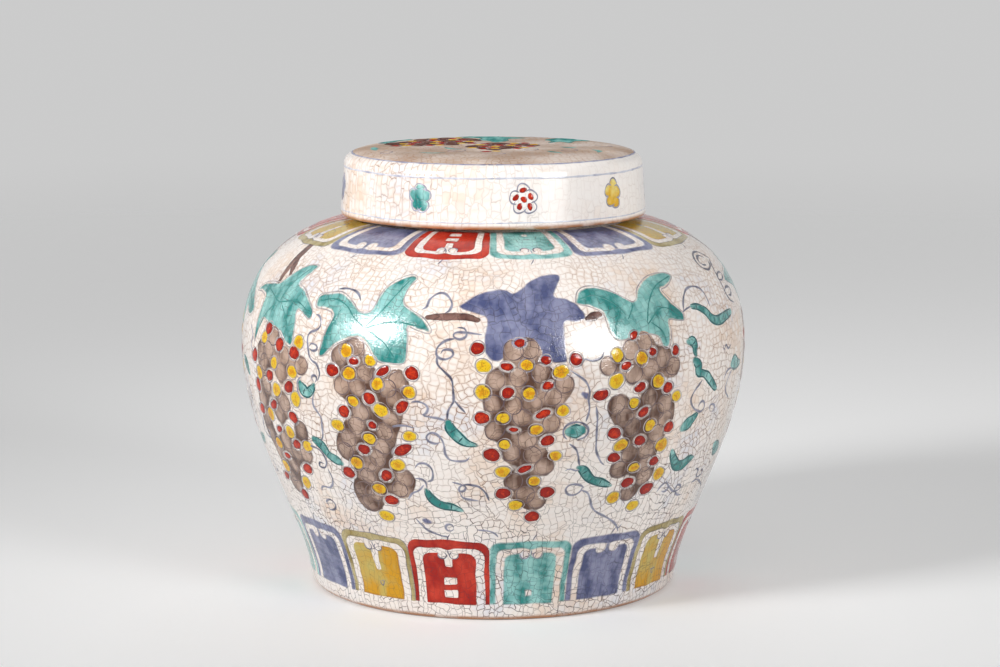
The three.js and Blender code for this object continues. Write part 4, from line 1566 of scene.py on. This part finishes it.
def leaflet_lines(turn):
    """A fine line along each side of a small leaf, and bars across it."""
    paths = []
    for points in LEAFLETS:
        path = open_curve(to_local(jar_wall, points[0][0], points), 0.6)
        ahead = np.gradient(path[:, :2], axis=0)
        ahead /= np.hypot(*ahead.T)[:, None]
        side = np.stack([-ahead[:, 1], ahead[:, 0]], 1)
        for hand in (-1, 1):
            edge = path[:, :2] + LEAFLET_EDGE * hand * side * path[:, 2:3]
            paths.append(to_wall(jar_wall, points[0][0] + turn, edge))
        over = np.linspace(-LEAFLET_EDGE, LEAFLET_EDGE, 5)[:, None]
        for i in range(5, len(path) - 4, BAR_EVERY):
            bar = path[i, :2] + over * side[i] * path[i, 2]
            paths.append(to_wall(jar_wall, points[0][0] + turn, bar))
    return paths


def vines(side, turn):
    """Leaves, twigs, small leaves and tendrils of one side, half a turn round for the back."""
    for number, (name, (colour, outline, veins)) in enumerate(LEAVES.items()):
        leaf(f"{name}_{side}", turn, colour, outline, veins, 40 + number)
    for number, (name, points) in enumerate(TWIGS.items()):
        stroke(f"{name}_{side}", turn, "twig", points, 60 + number, WASH_RELIEF, 0.5)
    for number, points in enumerate(LEAFLETS):
        name = f"leaflet_{number + 1:02d}_{side}"
        stroke(name, turn, "green", points, 80 + number, LEAF_RELIEF, 0.75)
    for number, points in enumerate(BUDS):
        stroke(f"bud_{number + 1}_{side}", turn, "violet", points, 110 + number, LEAF_RELIEF, 0.8)
    lines(f"leaflet_lines_{side}", "vein", jar_wall, leaflet_lines(turn), 0.75, LINE_RELIEF, 1.1)
    rng = np.random.default_rng(7)
    brushed = (("tendrils", TENDRILS, 1.1, 0.35), ("loops", LOOPS, 1.3, 0.95))
    for name, curves, width, low in brushed:
        paths = []
        for points in curves:
            local = open_curve(to_local(jar_wall, points[0][0], points), 0.7)
            paths.append(to_wall(jar_wall, points[0][0] + turn, local))
        tones = rng.uniform(low, low + 0.4, len(paths))
        lines(f"{name}_{side}", "cobalt", jar_wall, paths, width, LINE_RELIEF, tones)


# Panel borders

PANEL_CORNER = 4.0
CURL = 1.55  # radius of the two bare curls at the head of a panel
CURL_DROP = 0.7  # of the curls' middles, below the head of the colour inside
HEAD_GAP = 0.65  # the bare line under the arch, as a share of that inside the legs


def panel_fields(width, tall, leg, arch, gap, aside, notch_depth, slots, seed):
    """A panel stands on y = 0 and is round-shouldered at its head. Returns the fields of
    its band, whose legs and arch have these widths, and of the two-lobed colour inside it,
    a gap away, where two curls aside of the middle, a notch under them and slots are left
    bare. Between curls that stand well apart the colour runs on into the band."""
    top = tall - arch - HEAD_GAP * gap

    def drawn(x, y):
        sag = 0.5 * np.exp(-((x / 4) ** 2)) * (y > tall / 2)
        return x + 0.2 * ripple(x, y, 9, seed), y + 0.2 * ripple(x, y, 9, seed + 1) - sag

    def band(x, y):
        x, y = drawn(x, y)
        outer = box_field(x, y, width / 2, 0, tall, PANEL_CORNER)
        dip = 0.9 * np.exp(-((x / 1.8) ** 2))
        hole = box_field(x, y, width / 2 - leg, -9, tall - arch - dip, PANEL_CORNER - 1)
        return np.minimum(outer, -hole)

    def heart(x, y):
        x, y = drawn(x, y)
        body = box_field(x, y, width / 2 - leg - gap, 0, top, 3.0)
        bridge = np.minimum(aside - CURL - abs(x), np.minimum(y - top + 3, top + gap - y))
        body = np.maximum(body, bridge)
        curls = CURL - np.hypot(abs(x) - aside, y - top + CURL_DROP)
        notch = np.minimum(1.5 - 0.08 * (top - y) - abs(x), y - top + notch_depth)
        bare = np.maximum(curls, notch)
        for low, high, half in slots:
            slot = np.minimum(half - abs(x), np.minimum(y - low, high - y))
            bare = np.maximum(bare, slot)
        return np.minimum(body, -bare)

    return band, heart


OPEN_SLOTS = [(7.2, 9.4, 2.0), (2.4, 4.9, 2.2)]
SMALL_SLOTS = [(3.4, 4.8, 0.8)]
# The enamels of a panel's band and of its heart, how far its curls stand from its middle,
# the depth of the notch under them, and its slots
PANEL_COLOURS = {
    "R": ("red", "red", 1.75, 5.6, OPEN_SLOTS),
    "G": ("green", "green", 1.9, -1, SMALL_SLOTS),
    "V": ("violet", "violet", 2.4, -1, []),
    "Y": ("khaki", "yellow", 1.75, 9.5, []),
}
# Borders: the side edges of the panels as angles, and their colours between those edges
FOOT_EDGES = -0.9 + 22.5 * np.arange(17)
FOOT_COLOURS = "GVYR" * 4
SHOULDER_EDGES = [-83, -55, -26, -1, 23.5, 53.5, 84, 112, 139.5, 167, 194.5, 222, 249.5, 277]
SHOULDER_COLOURS = "YVRGVYRGVYGVR"
# and their start up the wall and height in mm
FOOT_BORDER = (6.4, 23.8)
SHOULDER_BORDER = (149.5, 20.4)
# Widths of a panel's legs, of its arch, and of the bare line inside them, by its colour
FOOT_BANDS = {
    "R": (2.0, 3.1, 2.6),
    "G": (2.5, 3.2, 2.1),
    "V": (2.6, 3.4, 1.8),
    "Y": (2.1, 2.7, 2.4),
}
SHOULDER_BANDS = {colour: (2.9, 2.7, 2.1) for colour in "RGVY"}


def yellow_tone(half_width, strength):
    """Strong colour to the right and at the panel's bottom, thin in its middle."""

    def tone(x, y):
        side = ease(x, 0.12 * half_width, 0.3 * half_width)
        low = ease(-y, -7, -3) * (1 - 0.9 * ease(-abs(x), -2.5, -1))
        return 0.24 + strength * np.maximum(side, low) + 0.2 * ripple(x, y, 5, 9)

    return tone


def panel(name, left, right, colours, border, bands, up, relief, seed):
    """One panel between two angles, standing up from the foot or hanging from the lid.
    Returns the brush marks on it: its curls, the tick over its head, and in the green and
    yellow ones a squiggle."""
    base, tall = border
    leg, arch, gap = bands[colours]
    reach = jar_wall.radius(base + up * tall * 0.8)
    width = 1.015 * reach * np.radians(right - left)
    middle = np.radians((left + right) / 2)

    def place(x, y):
        return middle + up * x / reach, base + up * y

    outer, inner, aside, notch, slots = PANEL_COLOURS[colours]
    band, heart = panel_fields(width, tall, leg, arch, gap, aside, notch, slots, seed)
    window = (-width / 2 - 1, width / 2 + 1, -1, tall + 2)
    # Round the shoulder the washes are thinner and paler: a painted sheen where the shoulder
    # catches the lamps. There the yellow hearts are a paler, olive yellow of their own.
    wash, yellow_wash = (0.5, 0.75) if up > 0 else (0.32, 0.2)
    tones = [leaf_tone(seed, wash), leaf_tone(seed + 1, wash)]
    if colours == "Y":
        tones[1] = yellow_tone(width / 2, yellow_wash)
    for part, colour, field, tone in zip(("band", "heart"), (outer, inner), (band, heart), tones):
        film(f"{name}_{part}", colour, jar_wall, place, window, 0.45, field, relief, 0.45, tone)
    sweep = np.linspace(-0.1 * np.pi, 1.35 * np.pi, 14)
    marks = []
    for hand in (-1, 1) if colours != "V" else ():
        r = CURL * (1.04 - 0.08 * sweep)
        x = hand * (aside + r * np.cos(sweep))
        y = tall - arch - HEAD_GAP * gap - CURL_DROP - r * np.sin(sweep)
        marks.append(np.stack([x, y], 1))
    marks.append(open_curve([(0.1, tall + 0.1), (0.5, tall + 1.3), (1.3, tall + 2.8)], 0.5))
    marks.append(open_curve([(0, tall - arch - 0.4), (0.2, tall - arch - 2.2)], 0.5))
    if colours == "G":
        dash = np.linspace(-1, 1, 8)
        marks.append(np.stack([1.6 * dash, 8.2 - 0.4 * dash**2], 1))
    if colours == "Y":
        marks.append(open_curve([(-1.3, 6.4), (0, 5.6), (1.3, 6.2), (0.5, 4), (-0.8, 6)], 0.5))
    paths = []
    for mark in marks:
        theta, s = place(mark[:, 0], mark[:, 1])
        paths.append(np.stack([np.degrees(theta), s], 1))
    return paths


def borders():
    """The panels round the foot and round the shoulder, and the brush marks on them all."""
    marks = []
    for where, edges, colours, border, bands, up in (
        ("foot", FOOT_EDGES, FOOT_COLOURS, FOOT_BORDER, FOOT_BANDS, 1),
        ("shoulder", SHOULDER_EDGES, SHOULDER_COLOURS, SHOULDER_BORDER, SHOULDER_BANDS, -1),
    ):
        for i, colour in enumerate(colours):
            name = f"{where}_panel_{i + 1:02d}"
            seed = 200 + 3 * i + 50 * up
            relief = PANEL_RELIEF - 0.02 * (i % 2)  # neighbours overlap a little
            left, right = edges[i], edges[i + 1]
            marks += panel(name, left, right, colour, border, bands, up, relief, seed)
    lines("panel_marks", "cobalt", jar_wall, marks, 0.6, LINE_RELIEF + 0.02, 0.75)


# The lid

LID_RINGS = [(3.1, 0.6, 0.25), (17.3, 0.9, 0.3), (22.6, 1.1, 0.8)]  # length, width, tone
RING_RELIEF = 0.06
BLOSSOMS = [
    (-80, "violet"), (-27.5, "green"), (11.3, "red"), (50.4, "yellow"), (88, "green"),
    (126, "red"), (164.5, "yellow"), (203, "green"), (241.5, "red"),
]
BLOSSOM_HEIGHT = 10.6
PETAL = 2.1  # radius of a petal
PETAL_REACH = 2.75  # from the blossom's middle to a petal's
SLENDER = {"green": 0.68, "violet": 0.7, "yellow": 0.8, "red": 1.0}  # a blossom's width


def blossom(number, theta0, colour):
    """Five round petals about a middle, none quite in its place. The red kind has white
    petals with red dots. Returns the lines round the petals."""
    spoke = np.radians(84 + 5 * (number % 3)) + np.arange(5) * 2 * np.pi / 5
    reach = PETAL_REACH * (1 + 0.12 * np.sin(7 * spoke + number))
    petals = np.stack([SLENDER[colour] * reach * np.cos(spoke), reach * np.sin(spoke)], 1)
    petals[:, 1] += BLOSSOM_HEIGHT
    middles = np.vstack([petals, [[0, BLOSSOM_HEIGHT]]])
    place = unrolled(lid_wall, theta0)
    name = f"blossom_{number + 1}"
    if colour == "red":
        spots = [(x, y, 1.3, 0.9, 20 + 25 * i) for i, (x, y) in enumerate(middles)]
        drops(f"{name}_dots", "red drop", lid_wall, place, spots, 0.15, number)
    else:
        enamel_name = "pale yellow" if colour == "yellow" else colour
        field = waver(round_spots(middles, PETAL), 0.2, 2, number)
        marks = leaf_tone(570 + number)
        window = (-6, 6, BLOSSOM_HEIGHT - 6, BLOSSOM_HEIGHT + 6)

        # Petals paler toward their top: partly the blossoms' own paler upper petals, partly a
        # painted highlight where the lid's side catches the lamps.
        def tone(x, y):
            return marks(x, y) - 0.25 * (y - BLOSSOM_HEIGHT) / PETAL

        title = f"{name}_petals"
        film(title, enamel_name, lid_wall, place, window, 0.3, field, LEAF_RELIEF, 0.3, tone)
    paths = []
    for angle, (x, y) in zip(spoke, petals):
        sweep = angle + np.radians(np.linspace(-112, 112, 18))
        r = PETAL * (1 + 0.07 * np.sin(3 * sweep + number))
        arc = np.stack([x + r * np.cos(sweep), y + r * np.sin(sweep)], 1)
        paths.append(to_wall(lid_wall, theta0, arc))
    return paths


def lid_side():
    """Three wavering blue lines round the lid, and the blossoms between the lower two."""
    theta = np.arange(0, 360, 1.5)
    turn = np.radians(theta)
    for number, (s, width, tone) in enumerate(LID_RINGS):
        waves = 0.08 * np.sin(turn * 5 + number) + 0.05 * np.sin(turn * 11)
        path = np.stack([theta, s + waves], 1)
        title = f"lid_ring_{number + 1}"
        lines(title, "pale blue", lid_wall, [path], width, RING_RELIEF, tone, closed=True)
    paths, tones = [], []
    for number, (theta0, colour) in enumerate(BLOSSOMS):
        petals = blossom(number, theta0, colour)
        paths += petals
        tones += [0.1 if colour == "green" else 0.5] * len(petals)
    lines("blossom_lines", "cobalt", lid_wall, paths, 0.65, LINE_RELIEF, tones)


LID_SCALE = 0.72  # size of the grapes on the lid, where 1 is their size on the jar
# On the lid's top, as (x, y) from its middle, y to the back
LID_BUNCHES = [
    [(-34, -6), (-29, -1), (-22, 3), (-13, 7), (-7, 12), (-7, 24), (-12, 32), (-20, 29),
     (-28, 21), (-34, 9)],
    [(-1.5, -21), (3, -14), (9, -7), (14, 2), (12, 11), (4, 14), (-3, 8), (-7, -4), (-4, -13)],
]
LID_LEAVES = [
    [(-13, 33), (-10, 38), (-5, 43), (1, 44), (2, 38), (6, 35), (11, 32), (5, 29), (5, 22),
     (1, 16), (-2, 22), (-5, 25), (-4, 31), (-8, 34)],
    [(19, 14), (20, 20), (18, 25), (22, 31), (27, 33), (29, 27), (33, 22), (28, 20), (26, 13),
     (23, 18)],
    [(-37, 12), (-39, 19), (-34, 26), (-31, 31), (-28, 26), (-32, 22), (-34, 17)],
]
LID_LEAFLETS = [
    [(-40, -2, 0.8), (-39.5, -7, 1.6), (-39, -12, 0.8)],
    [(18, -17, 0.7), (20, -20.5, 1.4), (22.5, -24, 0.6)],
    [(-16, -4, 0.7), (-14, -8.5, 1.4), (-10.5, -11.5, 0.7)],
    [(23, -2, 0.9), (25.5, -4, 1.5), (27.5, -3, 0.7)],
    [(-24, -22, 0.6), (-20, -24, 1.3), (-16, -23, 0.7)],
    [(33, -12, 0.6), (35, -16, 1.3), (34.5, -20, 0.6)],
]
LID_TENDRILS = [
    [(-36, -14), (-33, -19), (-34.5, -23), (-37, -21), (-35.5, -18.5)],
    [(-12, -6), (-9, -14), (-12, -20), (-15, -17), (-12, -14.5)],
    [(12, -4), (15, -10), (13, -15), (10, -13), (12, -10.5)],
    [(26, -8), (28, -14), (25, -18), (22.5, -15), (25, -13)],
    [(34, 4), (37, -1), (40, 1), (38.5, 4)],
    [(-4, -26), (0, -29), (4, -27), (2.5, -24.5)],
    [(-37, 8), (-39, 14), (-36, 18), (-34.5, 15)],
    [(12, 38), (16, 40), (19, 37), (16.5, 35.5)],
]


def lid_film(name, outline, field, margin, step, rim, seed):
    """A green film on the lid's top. margin is how far it may reach past its outline."""
    window = window_of(outline, margin)
    tone = leaf_tone(seed)
    film(name, "green", lid_wall, lid_plan, window, step, field, LEAF_RELIEF, rim, tone)


def lid_top():
    """Grape vines on the lid's flat top, laid out as on the wall but smaller."""
    for number, points in enumerate(LID_BUNCHES):
        grapes = mixed_bunch(closed_curve(points), (2, 1, 4), LID_SCALE, 500 + number)
        # Painted shade: the lid's grapes get a stronger, darker wash than the wall's.
        grapes[2][:, 2] = 0.75 + 0.4 * grapes[2][:, 2]  # a stronger wash than on the wall
        name = f"lid_bunch_{number + 1}"
        surface = (lid_wall, lid_plan, lid_plan_path)
        grape_bunch(name, *surface, *grapes, "dark wash", LID_SCALE, 510 + 9 * number)
    shapes = [closed_curve(points) for points in LID_LEAVES]
    for number, shape in enumerate(shapes):
        seed = 520 + number
        field = waver(within(shape), 0.1, 3, seed)
        lid_film(f"lid_leaf_{number + 1}", shape, field, 1, 0.45, 0.4, seed)
    for number, points in enumerate(LID_LEAFLETS):
        path = open_curve(points, 0.6)
        seed = 540 + number
        field = waver(along_stroke(path), 0.1, 2, seed)
        lid_film(f"lid_leaflet_{number + 1}", path, field, 3, 0.35, 0.35, seed)
    rims = [lid_plan_path(shape) for shape in shapes]
    lines("lid_leaf_rims", "vein", lid_wall, rims, 0.5, LINE_RELIEF, 0.5, closed=True)
    paths = [lid_plan_path(open_curve(points, 0.6)) for points in LID_TENDRILS]
    lines("lid_tendrils", "cobalt", lid_wall, paths, 0.45, LINE_RELIEF, 0.6)


# Studio: camera, lights, floor and background

EYE_BACK = 0.92993  # metres from the jar's axis
EYE_HEIGHT = 0.23133
EYE_ASIDE = 0.0023
LOOK_DOWN = 9.0036  # degrees below level
LENS = 100.0
SENSOR = 36.0  # mm wide
BELLY_UP = 0.09  # metres up, where the lamps' angles are measured from


def camera():
    """The camera that was fitted to the photograph."""
    data = bpy.data.cameras.new("camera")
    data.lens = LENS
    data.sensor_width = SENSOR
    eye = bpy.data.objects.new("camera", data)
    eye.location = (EYE_ASIDE, -EYE_BACK, EYE_HEIGHT)
    eye.rotation_euler = (np.radians(90 - LOOK_DOWN), 0, 0)
    bpy.context.scene.collection.objects.link(eye)
    bpy.context.scene.camera = eye


def softbox(name, azimuth, elevation, distance, size, power, aim, beam):
    """A rectangular lamp at an angle round from the front (to the right if positive) and an
    angle above level, both in degrees, seen from the jar's belly. It faces the jar's axis at
    the height aim, and its grid keeps the light within a beam of so many degrees."""
    data = bpy.data.lights.new(name, "AREA")
    data.shape = "RECTANGLE"
    data.size, data.size_y = size
    data.energy = power
    data.spread = np.radians(beam)
    lamp = bpy.data.objects.new(name, data)
    a, e = np.radians(azimuth), np.radians(elevation)
    away = np.array([np.sin(a) * np.cos(e), -np.cos(a) * np.cos(e), np.sin(e)])
    lamp.location = away * distance + np.array([0, 0, BELLY_UP])
    tip = np.arctan2(lamp.location[2] - aim, distance * np.cos(e))
    lamp.rotation_euler = (np.pi / 2 - tip, 0, a)
    bpy.context.scene.collection.objects.link(lamp)


PALE = 0.6  # brightness of the backdrop and the floor, where 1 is white
FILL = 0.19  # light that comes from all round


def seen_directly(s):
    """1 for what the camera sees, directly, in a gloss or through glass."""
    rays = s.tree.nodes.new("ShaderNodeLightPath").outputs
    straight, gloss, through = [
        Value(s, rays[f"Is {kind} Ray"]) for kind in ("Camera", "Glossy", "Transmission")
    ]
    return s.most(s.most(straight, gloss), through)


def studio():
    """Two lamps at the sides, which the shoulder mirrors, the left one with a bright middle,
    one overhead and one behind, and a pale backdrop."""
    softbox("softbox_left", -56, 23, 1.3, (0.54, 0.46), 0.1, 0.25, 42)
    softbox("bulb_left", -56, 23, 1.29, (0.36, 0.3), 1.2, 0.25, 42)
    softbox("softbox_right", 46, 17, 1.3, (0.46, 0.54), 0.86, 0.25, 42)
    softbox("softbox_top", 0, 80, 1.4, (1.0, 1.0), 1.35, BELLY_UP, 180)
    softbox("softbox_back", 180, 45, 1.4, (0.8, 0.6), 2.2, BELLY_UP, 180)
    world = bpy.data.worlds.new("studio")
    bpy.context.scene.world = world
    world.use_nodes = True
    s = Shader(world.node_tree)
    s.tree.nodes.clear()
    strength = seen_directly(s) * (PALE - FILL) + FILL
    sky = s.node("ShaderNodeBackground", {"Color": (1, 1, 1, 1), "Strength": strength})
    s.link({"Surface": sky}, s.tree.nodes.new("ShaderNodeOutputWorld"))
    floor()
    bpy.context.scene.view_settings.view_transform = "Standard"


FLOOR_RADII = np.linspace(0.05, 3.0, 12)  # metres, of the floor's rings
FLOOR_SIDES = 64
FLOOR_GLOW = 0.22  # brings what is seen of the floor up to the backdrop's brightness
FLOOR_FADE = (0.3, 1.6)  # metres from the jar, between which the floor fades out


def floor():
    """A pale round floor, whose far part fades into the background."""
    theta = np.arange(FLOOR_SIDES) * 2 * np.pi / FLOOR_SIDES
    x, y = np.outer(FLOOR_RADII, np.sin(theta)), -np.outer(FLOOR_RADII, np.cos(theta))
    points = np.stack([x, y, np.zeros_like(x)], -1).reshape(-1, 3)
    quads = ring_faces(len(FLOOR_RADII), FLOOR_SIDES)[:, ::-1]
    faces = quads.tolist() + [list(range(FLOOR_SIDES))]
    mesh = bpy.data.meshes.new("floor")
    mesh.from_pydata(points.tolist(), [], faces)
    material = bpy.data.materials.new("pale_floor")
    material.use_nodes = True
    s = Shader(material.node_tree)
    shader = s.tree.nodes["Principled BSDF"]
    shader.inputs["Base Color"].default_value = rgb(226, 226, 226)
    shader.inputs["Roughness"].default_value = 0.8
    shader.inputs["Emission Color"].default_value = (1, 1, 1, 1)
    far = s.node("ShaderNodeVectorMath", {0: s.place}, 1, operation="LENGTH")
    glow = seen_directly(s) * FLOOR_GLOW
    s.link({"Emission Strength": glow, "Alpha": s.faded(far, *FLOOR_FADE)}, shader)
    mesh.materials.append(material)
    piece = bpy.data.objects.new("floor", mesh)
    bpy.context.scene.collection.objects.link(piece)


camera()
studio()
bodies()
borders()
for side, turn in (("front", 0), ("back", 180)):
    vines(side, turn)
    bunches(side, turn)
lid_side()
lid_top()
